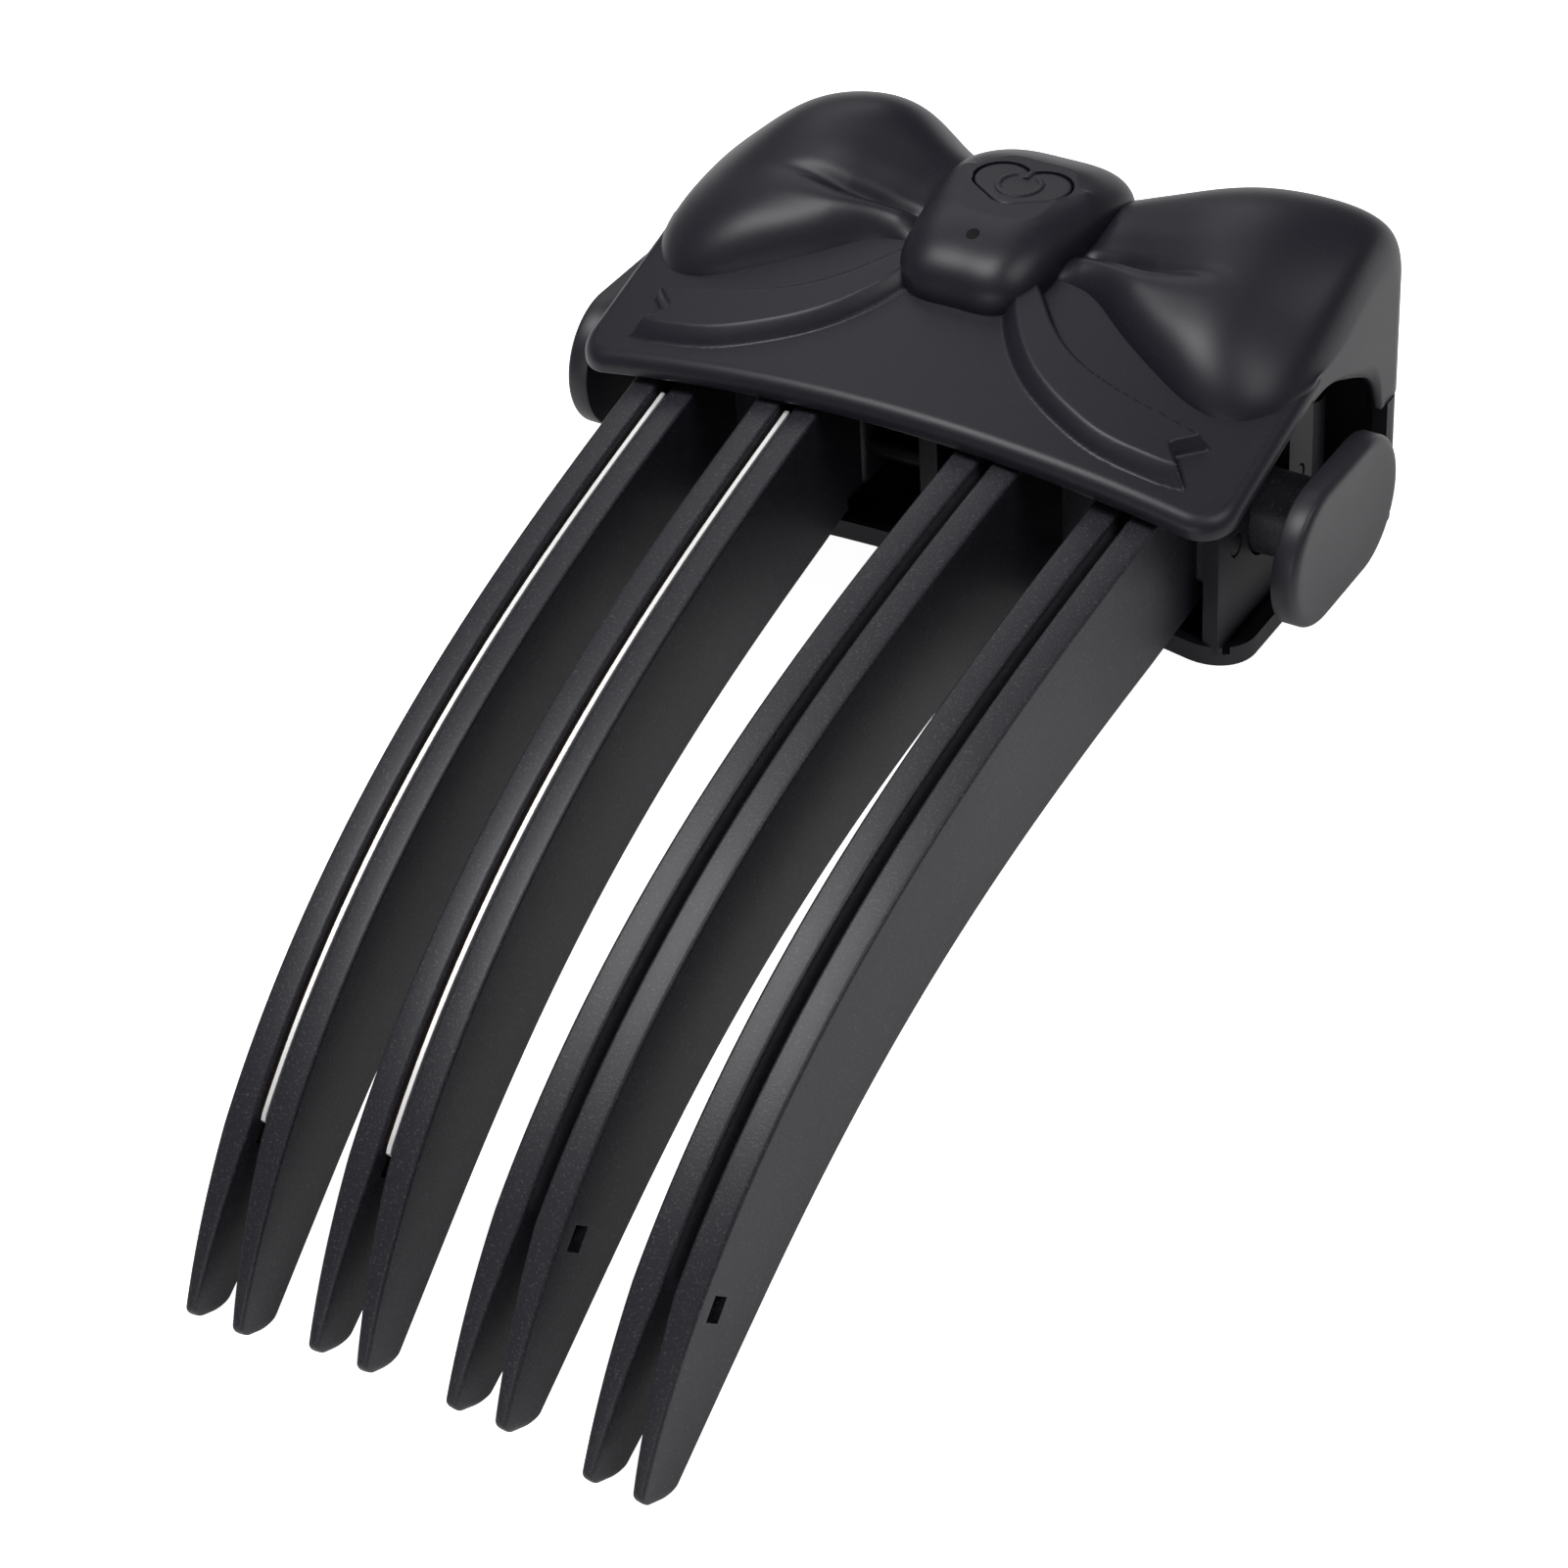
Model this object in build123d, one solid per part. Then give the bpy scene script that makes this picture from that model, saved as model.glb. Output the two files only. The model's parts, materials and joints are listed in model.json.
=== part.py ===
from build123d import *
import os
from math import atan2, cos, degrees, radians, sin, sqrt, tan

# Heated root volumizing clip. Eight curved blades hang in four pairs from a bow-shaped
# housing. One blade of each pair is fixed and heated, and the other is carried by a slider,
# which a side knob pushes inward against a spring to open the pair.
# Body frame in millimetres: X across the clip, -Y where the blades point, +Z up through the
# bow. Y = 0 and Z = 0 are where the outer blades leave the housing. The whole clip is seated
# at the end, resting on its blade tips and the rear edge of its base.

# Housing
HALF_WIDTH = 36.0        # outer side of the cover
FRONT_Y = 3.0            # front edge of the ledge
BACK_Y = 44.5            # rear wall
WALL = 1.6               # moulded wall of the cover
SEAM_Z = -4.2            # joint between cover and base
ARCH_R = 180.0           # cross arch of ledge and floor
LEDGE_Z = 5.6            # top of the ledge at its front edge, on the centre line
LEDGE_SLOPE = 0.30       # rise of the ledge towards the bow
LEDGE_BACK = 24.0        # the ledge runs this far back, under the loops
LEDGE_CORNER = 4.0       # front corners of the ledge in plan
LEDGE_ROLL = 1.2         # rolled upper edge of the ledge
ROOM_Z = 9.0             # height of the clear room behind the ledge
ROOM_FRONT = 19.8        # where that room starts
REAR_WALL_X = 19.0       # low wall that fills the rear between the loops, to either side
REAR_WALL_T = 2.9
REAR_WALL_TOP = 6.0
REAR_STEP = 0.1          # it lies this far inside the rear of the loops

# Side openings that the knobs slide into, as heights on the cover's side
OPENING_FRONT = 5.5
OPENING_REAR = 40.0
OPENING_LOW_Z = 0.6
OPENING_HIGH_Z = 5.1

# Bow: stations across one loop. x, front, then four points over the top and the back edge
LOOP_STATIONS = [
    (0.0, 22.5, (25.0, 12.0), (29.0, 11.9), (34.0, 12.3), (39.0, 11.5), (42.5, 7.0)),
    (6.0, 22.5, (25.0, 12.0), (29.0, 11.9), (34.0, 12.6), (39.0, 11.6), (42.6, 7.0)),
    (11.0, 22.8, (25.0, 12.7), (28.0, 12.4), (35.0, 14.3), (40.0, 12.4), (43.3, 7.5)),
    (16.0, 20.0, (22.6, 13.1), (27.0, 13.8), (35.5, 16.6), (41.0, 14.0), (44.0, 9.0)),
    (22.0, 16.6, (19.4, 12.2), (26.0, 15.2), (36.0, 18.0), (41.8, 15.4), (BACK_Y, 10.0)),
    (28.0, 14.4, (17.3, 10.5), (25.0, 14.4), (36.0, 17.3), (42.0, 15.0), (BACK_Y, 10.0)),
    (32.5, 15.6, (18.4, 9.2), (25.5, 12.2), (36.0, 15.2), (41.8, 13.8), (BACK_Y, 9.4)),
    (34.8, 18.6, (21.2, 8.6), (27.0, 10.8), (36.0, 13.7), (41.2, 12.4), (43.6, 8.5)),
    (35.7, 21.0, (23.5, 8.2), (29.0, 9.8), (36.0, 12.0), (40.4, 11.0), (42.4, 7.6)),
    (36.0, 22.5, (25.0, 7.9), (31.0, 8.9), (36.0, 10.4), (39.4, 9.8), (41.0, 6.6)),
]
# Knot: height, front, back, half width at the front and at the back
KNOT_LEVELS = [
    (5.0, 18.5, 41.5, 5.0, 8.0),
    (9.5, 16.7, 42.4, 6.2, 8.9),
    (12.0, 17.0, 42.2, 6.5, 9.2),
    (14.0, 18.6, 40.8, 6.2, 8.9),
    (15.2, 20.4, 38.8, 5.6, 8.2),
    (15.8, 22.3, 37.0, 4.9, 7.3),
    (16.0, 23.6, 35.8, 4.2, 6.6),
]
# Rooms inside a loop: inner and outer side, then points over the top. Inside the knot:
# height, then the right half of the outline
LOOP_ROOMS = [
    (12.0, 30.8, [(24.6, 10.4), (35.0, 12.6), (39.4, 11.0), (41.0, 8.0)]),
    (17.5, 30.8, [(22.0, 9.8), (27.0, 11.9), (35.5, 13.6), (40.6, 12.0), (42.4, 8.5)]),
    (20.5, 29.5, [(19.3, 8.3), (22.5, 10.8), (26.5, 12.4), (36.0, 14.8), (41.0, 13.0), (42.6, 9.0)]),
]
KNOT_ROOMS = [
    (6.0, [(12.5, 30.0), (12.5, 41.0)]),
    (10.7, [(4.2, 18.7), (6.6, 24.0), (7.0, 36.0), (5.4, 39.4)]),
    (12.4, [(3.6, 20.4), (5.4, 25.0), (6.9, 35.0), (5.0, 38.8)]),
]
TAIL_RELIEF = 0.8        # ribbon tails stand this far above the ledge
TAIL_EDGES = [           # swallow-tailed end, inner edge and front edge of the right tail
    (8.0, 21.0), (11.8, 16.9), (15.6, 14.3), (20.5, 12.8), (26.0, 11.9), (30.7, 11.1),
    (28.0, 9.3), (30.7, 6.1), (26.5, 5.7), (21.5, 6.0), (16.4, 7.6), (11.4, 11.0),
    (7.6, 15.0), (5.6, 18.0),
]

# Power button, status light and the board under them
HEART_CENTRE = (0.0, 31.9)
HEART_LOBE_R = 2.75      # round shoulders of the heart
HEART_LOBE_X = 2.3       # their distance from the centre line
HEART_TIP_Y = 26.9
HEART_TIP_R = 0.5
BUTTON_GAP = 0.25        # groove round the button
BUTTON_FLANGE = 0.5      # lip that keeps the button in
BUTTON_FLANGE_T = 0.6
BUTTON_TRAVEL = 0.5
KNOT_TOP = 16.0
PINHOLE_Y = 21.4
PINHOLE_R = 0.65
PIPE_R = 0.5
BOARD_TOP = 8.7           # just under the clear room's roof
BOARD_T = 1.0
BOARD_HALF_WIDTH = 6.6
BOARD_FRONT = 20.6
BOARD_BACK = 38.8
SWITCH_SIDE = 4.5
SWITCH_H = 1.6
PLUNGER_R = 1.0
PLUNGER_H = 0.7
LED_H = 0.7
BOSS_X = 4.4             # two bosses that hold the board
BOSS_Y = 23.6
BOSS_R = 1.5

# Charging socket in the rear of the cover
PORT_WIDTH = 8.94
PORT_HEIGHT = 3.26
PORT_LENGTH = 7.3
PORT_WALL = 0.3
PORT_GAP = 0.15
PORT_INSET = 3.0         # its mouth lies this far inside the rear wall

# Battery and its tray
CELL_SIZE = (40.0, 16.0, 6.0)
CELL_FRONT = 20.0
TRAY_RIM = 1.2
TRAY_TOP = 0.5

# Blades
PITCHES = (-25.31, -10.855, 10.855, 25.31)   # middle of each pair at its root
PAIR_SPREAD = 4.22       # distance between the two blades of a pair
BLADE_T = 2.9
BLADE_LENGTH = 103.0     # along the top edge
BLADE_HEIGHT = 15.0
INNER_RISE = 2.02        # the inner pairs start this much higher
HEADING_0 = 10.82        # slope of the top edge in degrees, growing along the blade
HEADING_1 = 0.097
HEADING_2 = 0.004
THIN_1 = 0.14            # share of height lost evenly, and share lost near the tip
THIN_6 = 0.51
OUTER_TOE = 2.4          # degrees that the outer and inner pairs turn inward
INNER_TOE = 2.25
TOP_BEVEL = 6.0          # degrees that the top edges fall outward
TIP_TAPER_START = 84.0   # both side faces draw in from here to the tip
TIP_TAPER = 2.7          # degrees
TIP_R = 1.2

# Heated blades carry a plate and a film on their inner face
PLATE_T = 0.4
FILM_T = 0.2
PLATE_END = 83.0
PLATE_DROP = 0.3
HOOK_AT = 86.0           # window near the tip that the plate hooks into
HOOK_SIDE = 2.0

# Fixed comb bridge, and the sliders with their knobs
BRIDGE_FRONT = 10.5
BRIDGE_BACK = 24.0
BRIDGE_BOTTOM = -13.0
BRIDGE_TOP = -11.2
FIXED_BACK = 11.1
BAR_FRONT = 11.5
BAR_BACK = 29.2
BAR_BOTTOM = -10.4
BAR_TOP = -2.0
BAR_INNER = 7.33         # inner end of a bar from the middle of the clip
AXIS_Y = 20.3            # knob, stem and spring lie on this line
AXIS_Z = -6.2
STROKE = 4.0
KNOB_FACE = 41.0
KNOB_T = 2.65
KNOB_R = 7.29
KNOB_STRAIGHT = 8.7
KNOB_EDGE = 0.7
STEM_R = 4.2
SPIGOT_R = 2.5
SPIGOT_LENGTH = 1.5
SPIGOT_GAP = 0.03
ROD_R = 1.2
ROD_SPACING = 13.6
ROD_GAP = 0.05
SPRING_R = 2.25          # to the middle of the wire
SPRING_WIRE = 0.5
SPRING_TURNS = 7
SPRING_BORE_R = 2.9
SPRING_BORE_DEPTH = 8.0
SPRING_SEAT = 0.2

# Base
FLOOR_Z = -15.1          # underside on the centre line
FLOOR_T = 1.3
BASE_FRONT = 9.0
BASE_HALF_WIDTH = 34.6
BASE_CORNER = 5.0
LIP_H = 0.8
LIP_T = 1.2
REAR_CORNER = 3.5
REAR_BLOCK = 40.0        # the base is as wide as the cover behind this line
REAR_FOOT = 0.2          # and its floor this much thicker on both sides
CHEEK_X = 31.0           # inner walls that guide the stems
CHEEK_T = 1.6
CHEEK_FRONT = 9.6
CHEEK_BACK = 30.0
STEM_GAP = 0.3
SPINE_T = 2.0            # wall on the centre line that holds rods and springs
SPINE_TOP = -0.8
POSTS = [(27.5, 38.2), (11.0, 40.4)]
POST_R = 2.4
SCREW_R = 0.95
SCREW_HEAD_R = 1.9
SCREW_HEAD_H = 1.3
SCREW_LENGTH = 13.0
COMB_SCREW_X = 20.2
COMB_SCREW_Y = (13.5, 20.5)
COMB_BOSS_R = 2.4
FIT = 0.25               # usual clearance between moulded pieces


def arch_drop(x):
    """How far the cross arch has fallen at x."""
    return ARCH_R - sqrt(ARCH_R ** 2 - x * x)


def ledge_top(x, y):
    return LEDGE_Z + LEDGE_SLOPE * (y - FRONT_Y) - arch_drop(x)


def closed_face(*edges):
    return Face(Wire(list(edges)))


def arched_band(top, bottom, half_width, front, back, slope):
    """Band between two parallel arches at y = front, drawn back and up along a slope."""
    fall = arch_drop(half_width)
    upper = [(-half_width, front, top - fall), (0, front, top), (half_width, front, top - fall)]
    lower = [(x, y, z - top + bottom) for x, y, z in upper]
    face = closed_face(
        ThreePointArc(*upper), Line(upper[2], lower[2]),
        ThreePointArc(*reversed(lower)), Line(lower[0], upper[0]),
    )
    return Solid.extrude(face, Vector(0, back - front, slope * (back - front)))


def cylinder_z(x, y, low, high, radius):
    return Pos(x, y, (low + high) / 2) * Cylinder(radius, high - low)


def cylinder_x(low, high, y, z, radius):
    return Pos((low + high) / 2, y, z) * Rot(0, 90, 0) * Cylinder(radius, high - low)


def block(x0, x1, y0, y1, z0, z1):
    return Pos((x0 + x1) / 2, (y0 + y1) / 2, (z0 + z1) / 2) * Box(x1 - x0, y1 - y0, z1 - z0)


def mirrored(shape):
    return mirror(shape, Plane.YZ)


# Cover


def loop_section(station):
    """One closed outline of a loop of the bow, at its x."""
    x, front, *top, back = station
    points = [(x, front, ledge_top(x, front) - 0.6)]
    points += [(x, y, z) for y, z in (*top, back)]
    over = Spline(*points, tangents=[(0, 0.25, 1), (0, 0, -1)])
    foot_back, foot_front = (x, back[0], SEAM_Z), (x, front, SEAM_Z)
    return Wire([
        over, Line(points[-1], foot_back), Line(foot_back, foot_front), Line(foot_front, points[0]),
    ])


def loop():
    """One loop of the bow, lofted from the middle out to the side of the cover."""
    return Solid.make_loft([loop_section(station) for station in LOOP_STATIONS])


def loop_room(inner, outer, over):
    """Clear room inside a loop, under a line of points over its top."""
    low = SEAM_Z - 1
    points = [(inner, over[0][0], low), *[(inner, y, z) for y, z in over], (inner, over[-1][0], low)]
    face = Face(Wire(Polyline(*points, close=True).edges()))
    return Solid.extrude(face, Vector(outer - inner, 0, 0))


def knot_room(top, outline):
    """Clear room inside the knot, up to a height, over an outline given for its right half."""
    points = [(x, y, SEAM_Z) for x, y in outline]
    points += [(-x, y, z) for x, y, z in reversed(points)]
    face = Face(Wire(Polyline(*points, close=True).edges()))
    return Solid.extrude(face, Vector(0, 0, top - SEAM_Z))


def knot_level(level):
    z, front, back, w_front, w_back = level
    right = [
        (0.72 * w_front, front + 0.5), (w_front, front + 2.4), (0.9 * w_back, front + 7.5),
        (w_back, (front + back) / 2 + 2.5), (0.93 * w_back, back - 3.2), (0.6 * w_back, back - 0.6),
    ]
    left = [(-x, y) for x, y in reversed(right)]
    outline = [(0, front), *right, (0, back), *left]
    return Wire([Spline(*[(x, y, z) for x, y in outline], periodic=True)])


def knot():
    """Pillow-shaped knot in the middle of the bow."""
    return Solid.make_loft([knot_level(level) for level in KNOT_LEVELS])


def ledge():
    """Arched ledge in front of the bow, with round corners and a rolled edge."""
    slab = arched_band(LEDGE_Z, LEDGE_Z - WALL, HALF_WIDTH, FRONT_Y, LEDGE_BACK, LEDGE_SLOPE)
    corners = slab.edges().filter_by(Axis.Z).group_by(Axis.Y)[0]
    slab = fillet(corners, LEDGE_CORNER)
    upper = slab.faces().sort_by(SortBy.AREA)[-2:].sort_by(Axis.Z)[-1]
    rim = upper.edges().filter_by(lambda e: e.center().Y < LEDGE_BACK - 1)
    return fillet(rim, LEDGE_ROLL)


def tails():
    """Two ribbon tails in relief on the ledge."""
    relief = arched_band(
        LEDGE_Z + TAIL_RELIEF, LEDGE_Z - 0.5, HALF_WIDTH, FRONT_Y, LEDGE_BACK, LEDGE_SLOPE)
    inner = Spline(*[(x, y, 0) for x, y in TAIL_EDGES[:6]])
    outer = Spline(*[(x, y, 0) for x, y in TAIL_EDGES[7:]])
    fork = [(x, y, 0) for x, y in TAIL_EDGES[5:8]]
    face = closed_face(inner, Line(fork[0], fork[1]), Line(fork[1], fork[2]), outer,
                       Line(outer @ 1, inner @ 0))
    right = relief & Solid.extrude(face, Vector(0, 0, 2 * KNOT_TOP))
    return right + mirrored(right)


def heart(grow):
    """Heart outline: two round shoulders, each hulled with the same tip."""
    x0, y0 = HEART_CENTRE
    halves = []
    for side in (-1, 1):
        shoulder = Pos(x0 + side * HEART_LOBE_X, y0) * Circle(HEART_LOBE_R + grow)
        tip = Pos(x0, HEART_TIP_Y) * Circle(HEART_TIP_R + grow)
        halves.append(make_hull((Sketch() + shoulder).edges() + (Sketch() + tip).edges()))
    return halves[0] + halves[1]


def heart_prism(low, high, grow):
    return extrude(Pos(0, 0, low) * heart(grow), high - low)


def side_opening():
    """Arch through both sides of the cover, which leaves room for the knobs."""
    front_low = (-50, OPENING_FRONT, OPENING_LOW_Z)
    arch_start = (-50, 20.6, OPENING_HIGH_Z)
    arch = Spline(arch_start, (-50, 29.4, 4.4), (-50, 36.7, -0.1), (-50, OPENING_REAR, -7.2),
                  tangents=[(0, 1, LEDGE_SLOPE), (0, 0.05, -1)])
    face = closed_face(
        Line((-50, 0, -30), (-50, 0, OPENING_LOW_Z - 1.6)),
        Line((-50, 0, OPENING_LOW_Z - 1.6), front_low), Line(front_low, arch_start), arch,
        Line((-50, OPENING_REAR, -7.2), (-50, OPENING_REAR, -30)),
        Line((-50, OPENING_REAR, -30), (-50, 0, -30)),
    )
    return Solid.extrude(face, Vector(100, 0, 0))


def under_ledge(gap):
    """Everything below the ledge and the room behind it, less a gap."""
    top = LEDGE_Z - WALL - gap
    wedge = arched_band(
        top, top - 40, HALF_WIDTH + 5, FRONT_Y - 5, 20.0, LEDGE_SLOPE)
    return Pos(0, 0, -5 * LEDGE_SLOPE) * wedge


def port_outline(grow):
    return RectangleRounded(
        PORT_WIDTH + 2 * grow, PORT_HEIGHT + 2 * grow, PORT_HEIGHT / 2 + grow - 0.01)


def port_prism(front, back, grow):
    z = BOARD_TOP + PORT_HEIGHT / 2 + 0.05
    plane = Plane(origin=(0, front, z), x_dir=(-1, 0, 0), z_dir=(0, 1, 0))
    return extrude(plane * port_outline(grow), back - front)


def top_cover():
    """Bow-shaped cover: ledge, loops, knot and tails over one moulded wall."""
    outer = loop()
    outer = outer + mirrored(outer) + knot() + ledge() + tails()
    roof = KNOT_LEVELS[-2][0] - WALL
    spaces = [
        arched_band(ROOM_Z, SEAM_Z - 5, HALF_WIDTH - WALL, ROOM_FRONT, BOARD_BACK + FIT, 0),
        under_ledge(0), side_opening(),
        heart_prism(BOARD_TOP + 1, roof, BUTTON_FLANGE + FIT),
    ]
    for inner, side, over in LOOP_ROOMS:
        room = loop_room(inner, side, over)
        spaces += [room, mirrored(room)]
    spaces += [knot_room(top, outline) for top, outline in KNOT_ROOMS]
    cover = outer
    for space in spaces:
        cover = cover - space
    rear_back = BACK_Y - REAR_STEP
    cover = cover + block(-REAR_WALL_X, REAR_WALL_X, rear_back - REAR_WALL_T, rear_back,
                          SEAM_Z, REAR_WALL_TOP)
    posts = [cylinder_z(s * x, y, SEAM_Z, 30, POST_R) for x, y in POSTS for s in (-1, 1)]
    posts += [cylinder_z(s * BOSS_X, BOSS_Y, BOARD_TOP, 30, BOSS_R) for s in (-1, 1)]
    cover = cover + [post & outer for post in posts]
    for side in (-1, 1):
        for x, y in POSTS:
            cover = cover - cylinder_z(side * x, y, SEAM_Z - 1, SEAM_Z + 8, SCREW_R)
        cover = cover - cylinder_z(side * BOSS_X, BOSS_Y, BOARD_TOP - 1, BOARD_TOP + 3, 0.7)
    cover = cover - heart_prism(BOARD_TOP + 4, KNOT_TOP + 1, BUTTON_GAP)
    cover = cover - cylinder_z(0, PINHOLE_Y, BOARD_TOP, KNOT_TOP, PINHOLE_R)
    return cover - port_prism(BACK_Y - 9, BACK_Y + 1, PORT_GAP)


def power_button():
    """Heart-shaped cap with a retaining flange and a stem over the switch."""
    roof = KNOT_LEVELS[-2][0] - WALL
    cap = heart_prism(roof - 0.9, KNOT_TOP, 0)
    cap = fillet(cap.faces().sort_by(Axis.Z)[-1].edges(), 0.2)
    flange = heart_prism(roof - 0.2 - BUTTON_FLANGE_T, roof - 0.2, BUTTON_FLANGE)
    stem_low = BOARD_TOP + SWITCH_H + PLUNGER_H + BUTTON_TRAVEL + 0.1
    return cap + flange + cylinder_z(0, HEART_CENTRE[1] - 1, stem_low, roof - 0.5, PLUNGER_R + 0.4)


def circuit_board():
    board = block(-BOARD_HALF_WIDTH, BOARD_HALF_WIDTH, BOARD_FRONT, BOARD_BACK,
                  BOARD_TOP - BOARD_T, BOARD_TOP)
    board = fillet(board.edges().filter_by(Axis.Z), 0.8)
    for side in (-1, 1):
        board = board - cylinder_z(side * BOSS_X, BOSS_Y, 0, 20, SCREW_R)
    chips = block(-3.2, 3.2, 33.0, 36.0, BOARD_TOP - BOARD_T - 0.8, BOARD_TOP - BOARD_T)
    return board + chips


def tact_switch():
    y = HEART_CENTRE[1] - 1
    half = SWITCH_SIDE / 2
    body = block(-half, half, y - half, y + half, BOARD_TOP, BOARD_TOP + SWITCH_H)
    body = chamfer(body.edges().filter_by(Axis.Z), 0.4)
    return body + cylinder_z(0, y, BOARD_TOP + SWITCH_H, BOARD_TOP + SWITCH_H + PLUNGER_H, PLUNGER_R)


def status_led():
    return block(-0.8, 0.8, PINHOLE_Y - 0.4, PINHOLE_Y + 0.4, BOARD_TOP, BOARD_TOP + LED_H)


def light_pipe():
    low = BOARD_TOP + LED_H + 0.1
    pipe = cylinder_z(0, PINHOLE_Y, low, KNOT_TOP - 1.6, PIPE_R)
    return pipe + cylinder_z(0, PINHOLE_Y, low, low + 1.0, PIPE_R + 0.7)


def charge_port():
    """Charging receptacle: a thin oval sleeve with a tongue on its rear wall."""
    front, back = BACK_Y - PORT_INSET - PORT_LENGTH, BACK_Y - PORT_INSET
    sleeve = port_prism(front, back, 0) - port_prism(front + 1.0, back + 1, -PORT_WALL)
    z = BOARD_TOP + PORT_HEIGHT / 2 + 0.05
    return sleeve + block(-3.3, 3.3, front + 0.5, back - 0.8, z - 0.35, z + 0.35)


def board_screws():
    return [screw(s * BOSS_X, BOSS_Y, BOARD_TOP - BOARD_T, BOARD_TOP + 2.4, 0.65, 1.2, 0.8)
            for s in (-1, 1)]


def battery_cell():
    width, depth, height = CELL_SIZE
    cell = block(-width / 2, width / 2, CELL_FRONT, CELL_FRONT + depth, TRAY_TOP, TRAY_TOP + height)
    return fillet(cell.edges().filter_by(Axis.Y), 1.6)


def battery_tray():
    """Shallow tray under the cell, which clips over the spine of the base."""
    width, depth, _ = CELL_SIZE
    x1 = width / 2 + FIT + TRAY_RIM
    y0, y1 = CELL_FRONT - FIT - TRAY_RIM, CELL_FRONT + depth + FIT + TRAY_RIM
    low = SPINE_TOP + 0.1
    tray = block(-x1, x1, y0, y1, low, TRAY_TOP + 1.6)
    room = block(-x1 + TRAY_RIM, x1 - TRAY_RIM, y0 + TRAY_RIM, y1 - TRAY_RIM, TRAY_TOP, 10)
    return fillet(tray.edges().filter_by(Axis.Z), 1.5) - room


# Blades


def top_edge(s, drop):
    """Point on the blade's top edge at length s, or below it by drop, as (y, z)."""
    steps = 40
    y = z = 0.0
    for i in range(steps):
        at = s * (i + 0.5) / steps
        heading = radians(HEADING_0 + HEADING_1 * at + HEADING_2 * at * at)
        y -= cos(heading) * s / steps
        z -= sin(heading) * s / steps
    heading = radians(HEADING_0 + HEADING_1 * s + HEADING_2 * s * s)
    return y + drop * sin(heading), z - drop * cos(heading)


def blade_depth(s):
    u = s / BLADE_LENGTH
    return BLADE_HEIGHT * (1 - THIN_1 * u - THIN_6 * u ** 6)


def edge_spline(rise, end, drop_of, count=8):
    points = [top_edge(end * i / count, drop_of(end * i / count)) for i in range(count + 1)]
    return Spline(*[(0, y, z + rise) for y, z in points])


def root_top(y, rise):
    """The top edge carries on straight into the housing."""
    return rise + y * tan(radians(HEADING_0))


def blade_face(rise, root):
    """Side outline of a blade. root holds the points that close it inside the housing."""
    end = BLADE_LENGTH - TIP_R
    upper = edge_spline(rise, end, lambda s: 0)
    lower = edge_spline(rise, end, blade_depth)
    tip_y, tip_z = top_edge(BLADE_LENGTH, blade_depth(end) / 2)
    tip = ThreePointArc(upper @ 1, (0, tip_y, tip_z + rise), lower @ 1)
    corners = [lower @ 0, *[Vector(0, y, z) for y, z in root], upper @ 0]
    lines = [Line(a, b) for a, b in zip(corners, corners[1:])]
    return closed_face(upper, tip, lower, *lines)


def tip_wedges():
    """Two wedges that draw the side faces in towards the tip."""
    y, z = top_edge(TIP_TAPER_START, 0)
    heading = HEADING_0 + HEADING_1 * 94 + HEADING_2 * 94 ** 2
    wedges = []
    for side in (-1, 1):
        wedge = Pos(side * 5, -25, 0) * Box(10, 50, 60)
        wedge = Pos(side * BLADE_T / 2, y, z) * Rot(heading, 0, 0) * Rot(0, 0, -side * TIP_TAPER) * wedge
        wedges.append(wedge)
    return wedges


def blade(rise, root, side, turn, x):
    """A blade whose top edge falls outward, tapered at its tip and turned inward."""
    lean = side * tan(radians(TOP_BEVEL)) * BLADE_T
    face = Pos(-BLADE_T / 2, 0, lean / 2) * blade_face(rise, root)
    body = Solid.extrude(face, Vector(BLADE_T, 0, -lean))
    for wedge in tip_wedges():
        body = body - Pos(0, 0, rise) * wedge
    return Pos(x, 0, 0) * Rot(0, 0, turn) * body


def pair_spec(index):
    """Rise, turn about Z and side of a pair of blades, counted from the left."""
    side = -1 if index < 2 else 1
    if index in (0, 3):
        return 0, -side * OUTER_TOE, side
    return INNER_RISE, -side * INNER_TOE, side


def fixed_root(rise):
    return [(BRIDGE_FRONT, BRIDGE_BOTTOM), (FIXED_BACK, BRIDGE_BOTTOM),
            (FIXED_BACK, root_top(FIXED_BACK, rise))]


def moving_root(rise):
    low = min(rise + top_edge(0, BLADE_HEIGHT)[1], BAR_BOTTOM)
    back = BAR_FRONT + 1.2
    front = BASE_FRONT - 0.1
    return [(front, low), (front, BAR_BOTTOM), (back, BAR_BOTTOM), (back, root_top(back, rise))]


def blade_x(index, heated):
    """The outer blade of a left pair and of a right pair is the heated one."""
    side = -1 if index < 2 else 1
    return PITCHES[index] + (side if heated else -side) * PAIR_SPREAD / 2


def hook_window(rise, depth):
    y, z = top_edge(HOOK_AT, blade_depth(HOOK_AT) / 2)
    heading = HEADING_0 + HEADING_1 * HOOK_AT + HEADING_2 * HOOK_AT ** 2
    return Pos(0, y, z + rise) * Rot(heading, 0, 0) * Box(depth, HOOK_SIDE, HOOK_SIDE)


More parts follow.
